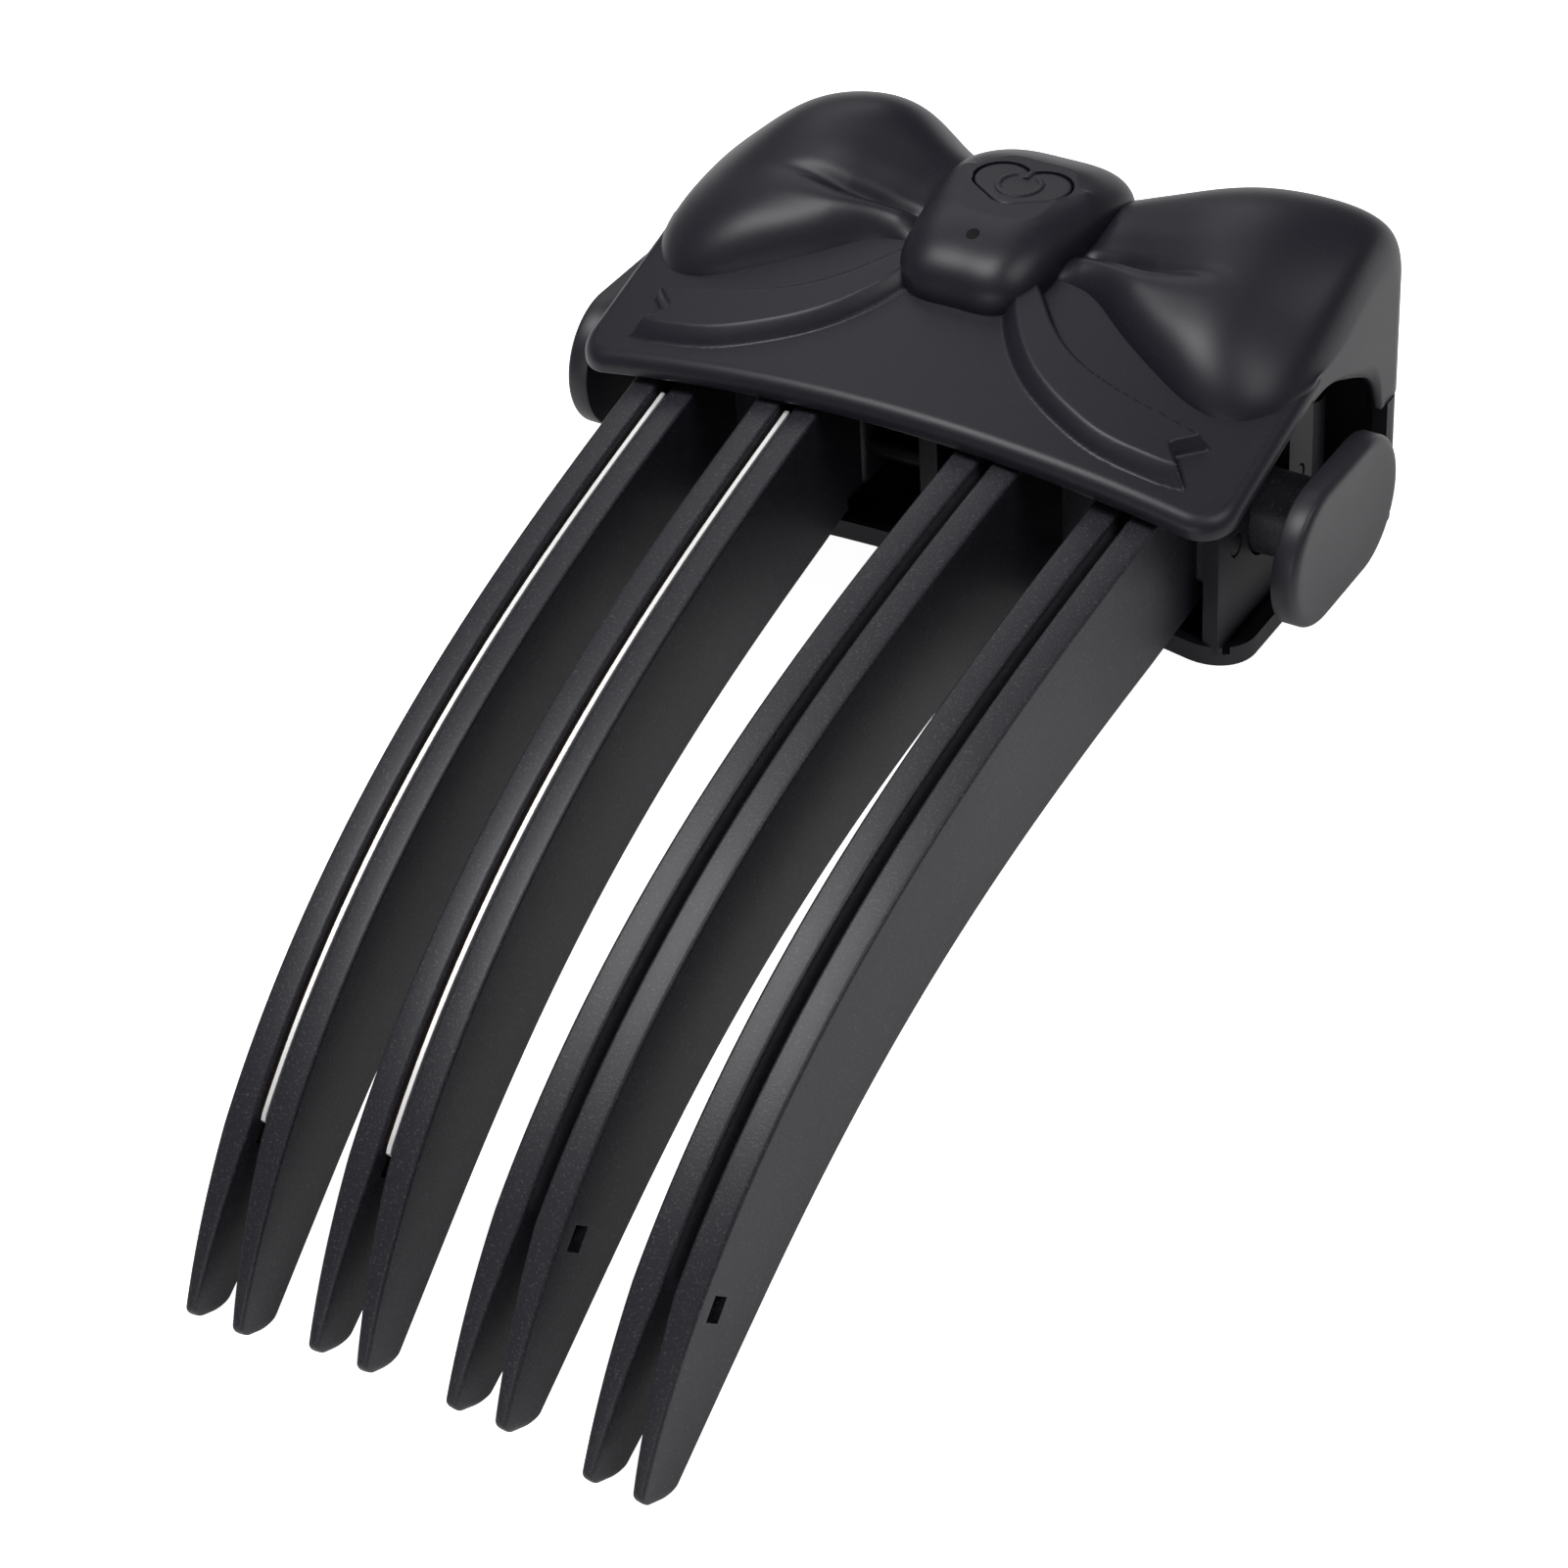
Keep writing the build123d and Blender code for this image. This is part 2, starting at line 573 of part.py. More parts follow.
def fixed_comb(first):
    """Two heated blades on one bridge, screwed to the floor of the base."""
    comb = Part()
    for index in (first, first + 1):
        rise, turn, side = pair_spec(index)
        piece = blade(rise, fixed_root(rise), side, turn, blade_x(index, True))
        window = Rot(0, 0, turn) * hook_window(rise, BLADE_T + 1)
        comb = comb + (piece - Pos(blade_x(index, True), 0, 0) * window)
    xs = [blade_x(index, True) for index in (first, first + 1)]
    x0, x1 = min(xs) - BLADE_T / 2, max(xs) + BLADE_T / 2
    bridge = block(x0, x1, BRIDGE_FRONT, BRIDGE_BACK, BRIDGE_BOTTOM, BRIDGE_TOP)
    bridge = fillet(bridge.edges().filter_by(Axis.Z).group_by(Axis.Y)[-1], 2.5)
    comb = comb + bridge
    for y in COMB_SCREW_Y:
        comb = comb - cylinder_z(pair_spec(first)[2] * COMB_SCREW_X, y, -20, -5, SCREW_R)
    return comb


def heater_face(rise, drop, rim, end, back):
    upper = edge_spline(rise, end, lambda s: drop, 6)
    lower = edge_spline(rise, end, lambda s: blade_depth(s) - rim, 6)
    y, z = top_edge(0, drop)
    ends = [lower @ 0, Vector(0, back, (lower @ 0).Z), Vector(0, back, rise + z), upper @ 0]
    lines = [Line(a, b) for a, b in zip(ends, ends[1:])]
    return closed_face(upper, Line(upper @ 1, lower @ 1), lower, *lines)


def on_inner_face(index, face, skip, thickness):
    """A sheet that lies on the inner face of a heated blade, skip away from it."""
    _, turn, side = pair_spec(index)
    start = -side * (BLADE_T / 2 + skip)
    sheet = Pos(start, 0, 0) * Solid.extrude(face, Vector(-side * thickness, 0, 0))
    return Pos(blade_x(index, True), 0, 0) * Rot(0, 0, turn) * sheet


def heater_film(index):
    rise = pair_spec(index)[0]
    return on_inner_face(index, heater_face(rise, 1.0, 1.6, PLATE_END - 1, 8.0), 0, FILM_T)


def heater_plate(index):
    """Metal plate with a tab that hooks into the window of its blade."""
    rise, turn, side = pair_spec(index)
    plate = on_inner_face(index, heater_face(rise, PLATE_DROP, 1.0, PLATE_END, 3.5), FILM_T, PLATE_T)
    y, z = top_edge(HOOK_AT - 1.4, blade_depth(HOOK_AT) / 2)
    heading = HEADING_0 + HEADING_1 * HOOK_AT + HEADING_2 * HOOK_AT ** 2
    place = Pos(blade_x(index, True), 0, 0) * Rot(0, 0, turn)
    reach = PLATE_T + FILM_T
    strap = Pos(-side * (BLADE_T / 2 + FILM_T + PLATE_T / 2), y, z + rise) * Rot(heading, 0, 0)
    strap = place * strap * Box(PLATE_T, 4.2, 1.4)
    hook_y, hook_z = top_edge(HOOK_AT, blade_depth(HOOK_AT) / 2)
    hook = Pos(-side * (BLADE_T / 2 + reach - 1.0), hook_y, hook_z + rise) * Rot(heading, 0, 0)
    hook = place * hook * Box(2.0, 1.4, 1.4)
    return plate + strap + hook


# Sliders


def slider(side):
    """Bar with two moving blades, the stem of its knob, rod bores and a spring bore."""
    first = 0 if side < 0 else 2
    outer_end = CHEEK_X - FIT
    bar = block(BAR_INNER, outer_end, BAR_FRONT, BAR_BACK, BAR_BOTTOM, BAR_TOP)
    bar = fillet(bar.edges().filter_by(Axis.Z), 1.0)
    pockets = [block(12.5 + i * 8.5, 18.5 + i * 8.5, 15.4, 25.2, AXIS_Z + 3.4, 0) for i in (0, 1)]
    bar = bar - pockets
    stem_end = KNOB_FACE - KNOB_T
    bar = bar + cylinder_x(outer_end - 1, stem_end, AXIS_Y, AXIS_Z, STEM_R)
    bar = bar + cylinder_x(stem_end - 1, stem_end + SPIGOT_LENGTH, AXIS_Y, AXIS_Z, SPIGOT_R)
    if side < 0:
        bar = mirrored(bar)
    for index in (first, first + 1):
        rise, turn, _ = pair_spec(index)
        bar = bar + blade(rise, moving_root(rise), side, turn, blade_x(index, False))
    bores = [cylinder_x(-60, 60, y, AXIS_Z, ROD_R + ROD_GAP) for y in rod_lines()]
    spring_end = BAR_INNER + SPRING_BORE_DEPTH
    bores.append(cylinder_x(-spring_end, spring_end, AXIS_Y, AXIS_Z, SPRING_BORE_R))
    return bar - bores


def rod_lines():
    return (AXIS_Y - ROD_SPACING / 2, AXIS_Y + ROD_SPACING / 2)


def guide_rod(y):
    end = CHEEK_X + CHEEK_T - 0.1
    return chamfer(cylinder_x(-end, end, y, AXIS_Z, ROD_R).edges(), 0.2)


def knob(side):
    """Flat stadium-shaped knob with soft edges, pressed onto the stem."""
    plane = Plane(origin=(KNOB_FACE - KNOB_T, AXIS_Y, AXIS_Z), x_dir=(0, 1, 0), z_dir=(1, 0, 0))
    cap = extrude(plane * SlotCenterToCenter(KNOB_STRAIGHT, 2 * KNOB_R), KNOB_T)
    cap = fillet(cap.faces().sort_by(Axis.X)[-1].edges(), KNOB_EDGE)
    cap = fillet(cap.faces().sort_by(Axis.X)[0].edges(), KNOB_EDGE / 3)
    start = KNOB_FACE - KNOB_T - 1
    cap = cap - cylinder_x(start, start + 1 + SPIGOT_LENGTH + 0.05, AXIS_Y, AXIS_Z, SPIGOT_R + SPIGOT_GAP)
    return cap if side > 0 else mirrored(cap)


def return_spring(side):
    """Wire coil between the spine and the bottom of the slider's bore."""
    start = SPINE_T / 2 + SPRING_SEAT + SPRING_WIRE / 2
    end = BAR_INNER + SPRING_BORE_DEPTH - SPRING_SEAT - SPRING_WIRE / 2
    pitch = (end - start) / SPRING_TURNS
    path = Helix(pitch, end - start, SPRING_R)
    wire = Plane(origin=path @ 0, z_dir=path % 0) * RegularPolygon(SPRING_WIRE / 2, 6)
    coil = sweep(wire, path)
    coil = Pos(start, AXIS_Y, AXIS_Z) * Rot(0, 90, 0) * coil
    return coil if side > 0 else mirrored(coil)


# Base


def base_shell():
    """Arched tray with a low lip, rear wall, guide cheeks, spine and screw posts."""
    floor_top = FLOOR_Z + FLOOR_T
    tray = arched_band(floor_top + LIP_H, FLOOR_Z, BASE_HALF_WIDTH, BASE_FRONT, BACK_Y - 3, 0)
    tray = fillet(tray.edges().filter_by(Axis.Z).group_by(Axis.Y)[0], BASE_CORNER)
    hollow = arched_band(floor_top + LIP_H, floor_top, BASE_HALF_WIDTH - LIP_T,
                         BASE_FRONT + LIP_T, BACK_Y - 2, 0)
    tray = tray - Pos(0, 0, 0.001) * hollow
    rear = block(-HALF_WIDTH, HALF_WIDTH, REAR_BLOCK, BACK_Y, FLOOR_Z - 4, SEAM_Z - 0.1)
    rear = fillet(rear.edges().filter_by(Axis.Z).group_by(Axis.Y)[-1], REAR_CORNER)
    foot = FLOOR_Z - REAR_FOOT
    below = arched_band(foot, foot - 10, HALF_WIDTH + 2, REAR_BLOCK - 1, BACK_Y + 1, 0)
    rear = rear - below
    inner = arched_band(
        SEAM_Z + 5, floor_top + REAR_FOOT, HALF_WIDTH - WALL, 0, BACK_Y - WALL, 0)
    rear = rear - inner
    shell = tray + rear
    clear = under_ledge(FIT) & block(-40, 40, 0, 20, -30, 12)
    clear = clear + block(-40, 40, 20, 40, -30, OPENING_HIGH_Z - FIT)
    for side in (-1, 1):
        x0, x1 = sorted((side * CHEEK_X, side * (CHEEK_X + CHEEK_T)))
        cheek = block(x0, x1, CHEEK_FRONT, CHEEK_BACK, FLOOR_Z - 1.5, 12) & clear
        notch = STEM_R + STEM_GAP
        cheek = cheek - block(x0 - 1, x1 + 1, AXIS_Y - notch, AXIS_Y + notch, AXIS_Z, 20)
        shell = shell + (cheek - cylinder_x(x0 - 1, x1 + 1, AXIS_Y, AXIS_Z, notch))
    shell = shell + block(-SPINE_T / 2, SPINE_T / 2, BAR_FRONT, BAR_BACK + 1, floor_top - 0.5, SPINE_TOP)
    for side in (-1, 1):
        stub = sorted((0, side * (SPINE_T / 2 + 2.0)))
        shell = shell + cylinder_x(*stub, AXIS_Y, AXIS_Z, SPRING_R - SPRING_WIRE / 2 - 0.3)
    for y in rod_lines():
        shell = shell - cylinder_x(-50, 50, y, AXIS_Z, ROD_R + ROD_GAP)
    return screw_seats(shell)


def post_floor(x):
    return FLOOR_Z - arch_drop(x)


def screw_seats(shell):
    """Posts for the cover screws and bosses for the comb screws."""
    for side in (-1, 1):
        for x, y in POSTS:
            shell = shell + cylinder_z(side * x, y, post_floor(x) + 0.3, SEAM_Z - 0.1, POST_R)
            low = post_floor(x) - 1
            shell = shell - cylinder_z(side * x, y, low, SEAM_Z, SCREW_R + 0.15)
            shell = shell - cylinder_z(side * x, y, low, low + 4, SCREW_HEAD_R + 0.2)
        for y in COMB_SCREW_Y:
            x = side * COMB_SCREW_X
            low = post_floor(x)
            shell = shell + cylinder_z(x, y, low + 0.3, BRIDGE_BOTTOM - 0.05, COMB_BOSS_R)
            shell = shell - cylinder_z(x, y, low - 1, BRIDGE_BOTTOM, SCREW_R + 0.15)
            shell = shell - cylinder_z(x, y, low - 1, low + 0.8, SCREW_HEAD_R + 0.2)
    return shell


def screw(x, y, head_low, tip, shank_r, head_r, head_h):
    """Pan-head screw that points up, with a cross recess left to its finish."""
    body = cylinder_z(x, y, head_low - head_h, head_low, head_r)
    body = body + cylinder_z(x, y, head_low, tip, shank_r)
    return chamfer(body.edges().sort_by(Axis.Z)[0], 0.3)


def housing_screws():
    screws = []
    for side in (-1, 1):
        for x, y in POSTS:
            seat = post_floor(x) + 3 - 0.02
            screws.append(screw(side * x, y, seat, seat + SCREW_LENGTH, SCREW_R - 0.02,
                                SCREW_HEAD_R, SCREW_HEAD_H))
    return screws


def comb_screws():
    screws = []
    for side in (-1, 1):
        for y in COMB_SCREW_Y:
            seat = post_floor(COMB_SCREW_X) + 0.8 - 0.02
            screws.append(screw(side * COMB_SCREW_X, y, seat, BRIDGE_TOP - 0.2, SCREW_R - 0.02,
                                SCREW_HEAD_R, 0.9))
    return screws


# Seating and export


def seat_tilt():
    """Angle that brings the blade tips level with the rear edge of the base."""
    tip_y, tip_z = top_edge(BLADE_LENGTH - 1, blade_depth(BLADE_LENGTH) * 0.6)
    corner_z = FLOOR_Z - REAR_FOOT - arch_drop(HALF_WIDTH - REAR_CORNER)
    return degrees(atan2(corner_z - tip_z, BACK_Y - tip_y))


def build_parts():
    """Every piece in the body frame, under its own name."""
    pieces = {
        "top_cover": top_cover(), "base_shell": base_shell(),
        "power_button": power_button(), "circuit_board": circuit_board(),
        "tact_switch": tact_switch(), "status_led": status_led(),
        "light_pipe": light_pipe(), "charge_port": charge_port(),
        "battery_cell": battery_cell(), "battery_tray": battery_tray(),
        "fixed_comb_left": fixed_comb(0), "fixed_comb_right": fixed_comb(2),
        "slider_left": slider(-1), "slider_right": slider(1),
        "knob_left": knob(-1), "knob_right": knob(1),
        "return_spring_left": return_spring(-1), "return_spring_right": return_spring(1),
        "guide_rod_front": guide_rod(rod_lines()[0]),
        "guide_rod_back": guide_rod(rod_lines()[1]),
        "housing_screws": housing_screws(), "comb_screws": comb_screws(),
        "board_screws": board_screws(),
    }
    for index, name in enumerate(("outer_left", "inner_left", "inner_right", "outer_right")):
        pieces["heater_plate_" + name] = heater_plate(index)
        pieces["heater_film_" + name] = heater_film(index)
    return pieces


def solids_of(piece):
    items = piece if isinstance(piece, (list, ShapeList)) else [piece]
    return [solid for item in items for solid in item.solids()]


def main():
    os.makedirs("parts", exist_ok=True)
    tilt = Rot(-seat_tilt(), 0, 0)
    seated = {name: [tilt * s for s in solids_of(piece)] for name, piece in build_parts().items()}
    box = Compound([s for solids in seated.values() for s in solids]).bounding_box()
    shift = Pos(-(box.min.X + box.max.X) / 2, -(box.min.Y + box.max.Y) / 2, -box.min.Z)
    for name, solids in seated.items():
        placed = [shift * s for s in solids]
        shape = placed[0] if len(placed) == 1 else Compound(placed)
        export_step(shape, f"parts/{name}.step")
    print("tilt", round(seat_tilt(), 3), "shift", shift.position)
    print("size", box.size)


main()
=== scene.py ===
import bmesh
import bpy
import json
import numpy as np
from math import cos, pi, radians, sin, tan
from mathutils import Matrix, Vector


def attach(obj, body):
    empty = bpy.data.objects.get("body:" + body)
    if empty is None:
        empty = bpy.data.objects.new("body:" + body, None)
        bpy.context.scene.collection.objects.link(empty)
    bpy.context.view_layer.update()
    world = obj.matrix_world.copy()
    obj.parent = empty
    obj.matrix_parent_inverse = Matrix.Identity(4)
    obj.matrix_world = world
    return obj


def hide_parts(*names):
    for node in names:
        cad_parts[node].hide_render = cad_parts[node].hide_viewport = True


# Heated root volumizing clip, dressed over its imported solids. Shapes are worked out in the
# body frame of the part's source, in millimetres, and seated into metres at the end.

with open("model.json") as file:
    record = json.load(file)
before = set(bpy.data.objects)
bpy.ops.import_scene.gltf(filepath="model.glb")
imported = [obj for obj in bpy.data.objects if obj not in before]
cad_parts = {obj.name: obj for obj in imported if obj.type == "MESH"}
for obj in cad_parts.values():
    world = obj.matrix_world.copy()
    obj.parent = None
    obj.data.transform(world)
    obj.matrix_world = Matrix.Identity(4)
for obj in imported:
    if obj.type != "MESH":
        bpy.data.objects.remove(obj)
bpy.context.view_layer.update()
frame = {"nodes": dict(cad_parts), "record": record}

TILT = radians(13.997)
SEAT_SHIFT = np.array((0.0, 24.1144, 30.1785))
PHOTO_SIDE = 1601


def seat_turn(vectors):
    """Turns body-frame vectors back by the tilt about X."""
    x, y, z = np.moveaxis(np.asarray(vectors, float), -1, 0)
    return np.stack([x, y * cos(TILT) + z * sin(TILT), z * cos(TILT) - y * sin(TILT)], -1)


def seat(points):
    """Body-frame millimetres to metres in the seated frame: turn, then shift."""
    return (seat_turn(points) + SEAT_SHIFT) / 1000


# Mesh helpers


def grid_faces(rows, columns, closed=False, start=0):
    """Quads between neighbouring rows and columns of a grid. Closed joins the last column to
    the first."""
    across = columns if closed else columns - 1
    i, j = np.meshgrid(np.arange(rows - 1), np.arange(across), indexing="ij")
    k = (j + 1) % columns
    row, following = i * columns, (i + 1) * columns
    quads = np.stack([row + j, row + k, following + k, following + j], -1)
    return (quads.reshape(-1, 4) + start).tolist()


class Shell:
    """Points and faces of one piece, gathered grid by grid."""

    def __init__(self):
        self.points, self.faces, self.count = [], [], 0

    def grid(self, surface, closed=False, cap_first=False, cap_last=False):
        """Adds a grid of points. A cap is one face over the first or the last row."""
        rows, columns = surface.shape[:2]
        self.faces += grid_faces(rows, columns, closed, self.count)
        if cap_first:
            self.faces.append([self.count + j for j in range(columns)][::-1])
        if cap_last:
            self.faces.append([self.count + (rows - 1) * columns + j for j in range(columns)])
        self.points.append(surface.reshape(-1, 3))
        self.count += rows * columns

    def tube(self, surface):
        """A grid closed round its columns, with both ends capped."""
        self.grid(surface, closed=True, cap_first=True, cap_last=True)

    def piece(self, name, body, slot, node, sharp=35, wall=0.0):
        """The finished piece: seated mesh, wall, finish, slot, body and the node it replaces."""
        mesh = bpy.data.meshes.new(name)
        mesh.from_pydata(seat(np.concatenate(self.points)).tolist(), [], self.faces)
        mesh.validate()
        piece = bpy.data.objects.new(name, mesh)
        bpy.context.scene.collection.objects.link(piece)
        tidy(piece)
        mesh.shade_smooth()
        mesh.set_sharp_from_angle(angle=radians(sharp))
        if wall:
            thick = piece.modifiers.new("moulded_wall", "SOLIDIFY")
            thick.thickness = wall / 1000
            thick.offset = -1
        mesh.materials.append(finish_of[slot])
        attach(piece, body)
        if node:
            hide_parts(node)
        return piece


def tidy(piece):
    """Merges doubled points and turns every face outward."""
    work = bmesh.new()
    work.from_mesh(piece.data)
    bmesh.ops.remove_doubles(work, verts=work.verts, dist=2e-6)
    bmesh.ops.recalc_face_normals(work, faces=work.faces)
    work.to_mesh(piece.data)
    work.free()


def chord_knots(points):
    """Distance run along points, or along sections by the mean over their points."""
    gaps = np.linalg.norm(np.diff(points, axis=0), axis=-1)
    if gaps.ndim > 1:
        gaps = gaps.mean(1)
    return np.concatenate([[0], np.cumsum(gaps)])


def spline(knots, values, at, ends=None):
    """Cubic through values at knots. The bends solve the three-term system; its end rows hold
    no bend, or the given end slopes."""
    values = np.asarray(values, float)
    step = np.diff(knots)
    count = len(knots)
    flat = values.reshape(count, -1)
    slope = np.diff(flat, axis=0) / step[:, None]
    system, right = np.eye(count), np.zeros_like(flat)
    i = np.arange(1, count - 1)
    system[i, i - 1], system[i, i + 1] = step[:-1], step[1:]
    system[i, i] = 2 * (step[:-1] + step[1:])
    right[1:-1] = 6 * np.diff(slope, axis=0)
    if ends is not None:
        system[0, :2] = 2 * step[0], step[0]
        system[-1, -2:] = step[-1], 2 * step[-1]
        right[0] = 6 * (slope[0] - np.ravel(ends[0]))
        right[-1] = 6 * (np.ravel(ends[1]) - slope[-1])
    bend = np.linalg.solve(system, right)
    k = np.clip(np.searchsorted(knots, at, side="right") - 1, 0, count - 2)
    a = ((knots[k + 1] - at) / step[k])[:, None]
    b = 1 - a
    out = a * flat[k] + b * flat[k + 1]
    out += ((a ** 3 - a) * bend[k] + (b ** 3 - b) * bend[k + 1]) * (step[k] ** 2)[:, None] / 6
    return out.reshape(len(at), *values.shape[1:])


def through(points, count, ends=None):
    """Curve through points at even chord length, its speed close to one. Sections instead of
    points are lofted, spaced by their mean distance."""
    points = np.asarray(points, float)
    knots = chord_knots(points)
    return spline(knots, points, np.linspace(0, knots[-1], count), ends)


def periodic(points, count):
    """Closed curve through points: three turns are splined and the middle one is kept."""
    points = np.asarray(points, float)
    ring = np.concatenate([points, points, points, points[:1]])
    knots = chord_knots(ring)
    turn = knots[len(points)]
    return spline(knots, ring, turn + np.arange(count) / count * turn)


def smooth(t):
    """Runs from 0 to 1 with level ends."""
    t = np.clip(t, 0, 1)
    return t * t * (3 - 2 * t)


# Finishes


def link(tree, start, end):
    """Joins an output to an input."""
    tree.links.new(start, end)


def moulded_surface():
    """Group for moulded plastic: fine grain height, and small changes of colour and roughness
    from broad noise. Height = grain noise. Roughness = base + spread x broad noise."""
    group = bpy.data.node_groups.new("moulded_surface", "ShaderNodeTree")
    for name, kind, value in (("Colour", "NodeSocketColor", (0.02, 0.02, 0.02, 1)),
                              ("Bright Colour", "NodeSocketColor", (0.03, 0.03, 0.03, 1)),
                              ("Roughness", "NodeSocketFloat", 0.4),
                              ("Rough Spread", "NodeSocketFloat", 0.05),
                              ("Grain Scale", "NodeSocketFloat", 4000.0),
                              ("Speckle", "NodeSocketFloat", 0.0)):
        socket = group.interface.new_socket(name, in_out="INPUT", socket_type=kind)
        socket.default_value = value
    for name, kind in (("Colour", "NodeSocketColor"), ("Roughness", "NodeSocketFloat"),
                       ("Height", "NodeSocketFloat")):
        group.interface.new_socket(name, in_out="OUTPUT", socket_type=kind)
    add = group.nodes.new
    inside, outside = add("NodeGroupInput"), add("NodeGroupOutput")
    place = add("ShaderNodeTexCoord")
    broad, grain = add("ShaderNodeTexNoise"), add("ShaderNodeTexNoise")
    broad.inputs["Scale"].default_value = 60
    broad.inputs["Detail"].default_value = 4
    grain.inputs["Detail"].default_value = 2
    link(group, inside.outputs["Grain Scale"], grain.inputs["Scale"])
    for noise in (broad, grain):
        link(group, place.outputs["Object"], noise.inputs["Vector"])
    peaks = add("ShaderNodeMapRange")
    peaks.inputs["From Min"].default_value = 0.56
    peaks.inputs["From Max"].default_value = 0.76
    link(group, grain.outputs["Fac"], peaks.inputs["Value"])
    speck = add("ShaderNodeMath")
    speck.operation = "MULTIPLY"
    link(group, peaks.outputs["Result"], speck.inputs[0])
    link(group, inside.outputs["Speckle"], speck.inputs[1])
    tone = add("ShaderNodeMix")
    tone.data_type = "RGBA"
    link(group, speck.outputs["Value"], tone.inputs["Factor"])
    link(group, inside.outputs["Colour"], tone.inputs["A"])
    link(group, inside.outputs["Bright Colour"], tone.inputs["B"])
    spread = add("ShaderNodeMath")
    spread.operation = "MULTIPLY_ADD"
    link(group, broad.outputs["Fac"], spread.inputs[0])
    link(group, inside.outputs["Rough Spread"], spread.inputs[1])
    link(group, inside.outputs["Roughness"], spread.inputs[2])
    link(group, tone.outputs["Result"], outside.inputs["Colour"])
    link(group, spread.outputs["Value"], outside.inputs["Roughness"])
    link(group, grain.outputs["Fac"], outside.inputs["Height"])
    return group


MOULDED = moulded_surface()


def finish(name, colour, bright, rough, spread, grain, relief, speckle=0.0, metallic=0.0,
           specular=0.5):
    """One material: the moulded surface group feeds colour, roughness and a fine bump. The
    bump's relief is in metres, and speckle is the share of bright colour on the peaks."""
    material = bpy.data.materials.new(name)
    material.use_nodes = True
    tree = material.node_tree
    shader = tree.nodes["Principled BSDF"]
    shader.inputs["Metallic"].default_value = metallic
    shader.inputs["Specular IOR Level"].default_value = specular
    group = tree.nodes.new("ShaderNodeGroup")
    group.node_tree = MOULDED
    for socket, value in (("Colour", (*colour, 1)), ("Bright Colour", (*bright, 1)),
                          ("Roughness", rough), ("Rough Spread", spread),
                          ("Grain Scale", grain), ("Speckle", speckle)):
        group.inputs[socket].default_value = value
    bump = tree.nodes.new("ShaderNodeBump")
    bump.inputs["Strength"].default_value = 0.5
    bump.inputs["Distance"].default_value = relief
    link(tree, group.outputs["Colour"], shader.inputs["Base Color"])
    link(tree, group.outputs["Roughness"], shader.inputs["Roughness"])
    link(tree, group.outputs["Height"], bump.inputs["Height"])
    link(tree, bump.outputs["Normal"], shader.inputs["Normal"])
    return material


SATIN_PEAKS = (0.03, 0.03, 0.036)

finish_of = {
    "cover_plastic": finish(
        "cover_satin", (0.0110, 0.0103, 0.0165), SATIN_PEAKS,
        rough=0.36, spread=0.08, grain=2600, relief=6e-6, speckle=0.25, specular=0.34),
    "blade_plastic": finish(
        "blade_satin", (0.0118, 0.0110, 0.0165), (0.08, 0.08, 0.088),
        rough=0.40, spread=0.08, grain=4200, relief=2.6e-5, speckle=0.6, specular=0.44),
    "knob_plastic": finish(
        "knob_satin", (0.0165, 0.0158, 0.0215), SATIN_PEAKS,
        rough=0.38, spread=0.06, grain=2600, relief=4e-6, speckle=0.2, specular=0.38),
    "button_plastic": finish(
        "button_satin", (0.0115, 0.0108, 0.0168), SATIN_PEAKS,
        rough=0.36, spread=0.06, grain=2600, relief=5e-6, speckle=0.2, specular=0.38),
    # Near-black plastic of the switch and tray; on the status pinhole it is painted shade
    "dark_plastic": finish(
        "tray_plastic_and_pinhole_shade", (0.004, 0.004, 0.004), (0.01, 0.01, 0.01),
        rough=0.6, spread=0.1, grain=2000, relief=8e-6, specular=0.15),
    "heater_metal": finish(
        "heater_steel", (0.9, 0.9, 0.9), (0.96, 0.96, 0.95),
        rough=0.4, spread=0.1, grain=1500, relief=3e-6, speckle=0.3, metallic=0.55),
    "film_amber": finish(
        "heater_film", (0.045, 0.024, 0.01), (0.07, 0.04, 0.02),
        rough=0.35, spread=0.1, grain=900, relief=2e-6, speckle=0.4, specular=0.3),
    "board_green": finish(
        "board_mask", (0.02, 0.15, 0.06), (0.04, 0.24, 0.1),
        rough=0.3, spread=0.1, grain=900, relief=4e-6, speckle=0.6),
    "cell_foil": finish(
        "cell_foil", (0.6, 0.6, 0.62), (0.75, 0.75, 0.78),
        rough=0.3, spread=0.15, grain=700, relief=1.5e-5, speckle=0.4, metallic=1.0),
    "bright_steel": finish(
        "bright_steel", (0.72, 0.72, 0.72), (0.8, 0.8, 0.8),
        rough=0.16, spread=0.1, grain=1800, relief=2e-6, speckle=0.3, metallic=1.0),
    "screw_steel": finish(
        "black_zinc", (0.2, 0.2, 0.21), (0.35, 0.35, 0.36),
        rough=0.32, spread=0.12, grain=1500, relief=4e-6, speckle=0.4, metallic=1.0),
    "led_lens": finish(
        "light_lens", (0.5, 0.53, 0.55), (0.7, 0.7, 0.7),
        rough=0.2, spread=0.05, grain=1200, relief=2e-6, speckle=0.2),
}
black_oxide = finish(
    "black_oxide", (0.02, 0.02, 0.022), (0.04, 0.04, 0.042),
    rough=0.4, spread=0.1, grain=1800, relief=2e-6, speckle=0.3, metallic=1.0)
# Darker, duller copy of the cover's satin: painted shade on the base seen inside the openings
shaded_base_satin = finish(
    "base_satin_painted_shade", (0.0098, 0.0092, 0.0138), (0.02, 0.02, 0.024),
    rough=0.45, spread=0.08, grain=2600, relief=6e-6, speckle=0.2, specular=0.28)
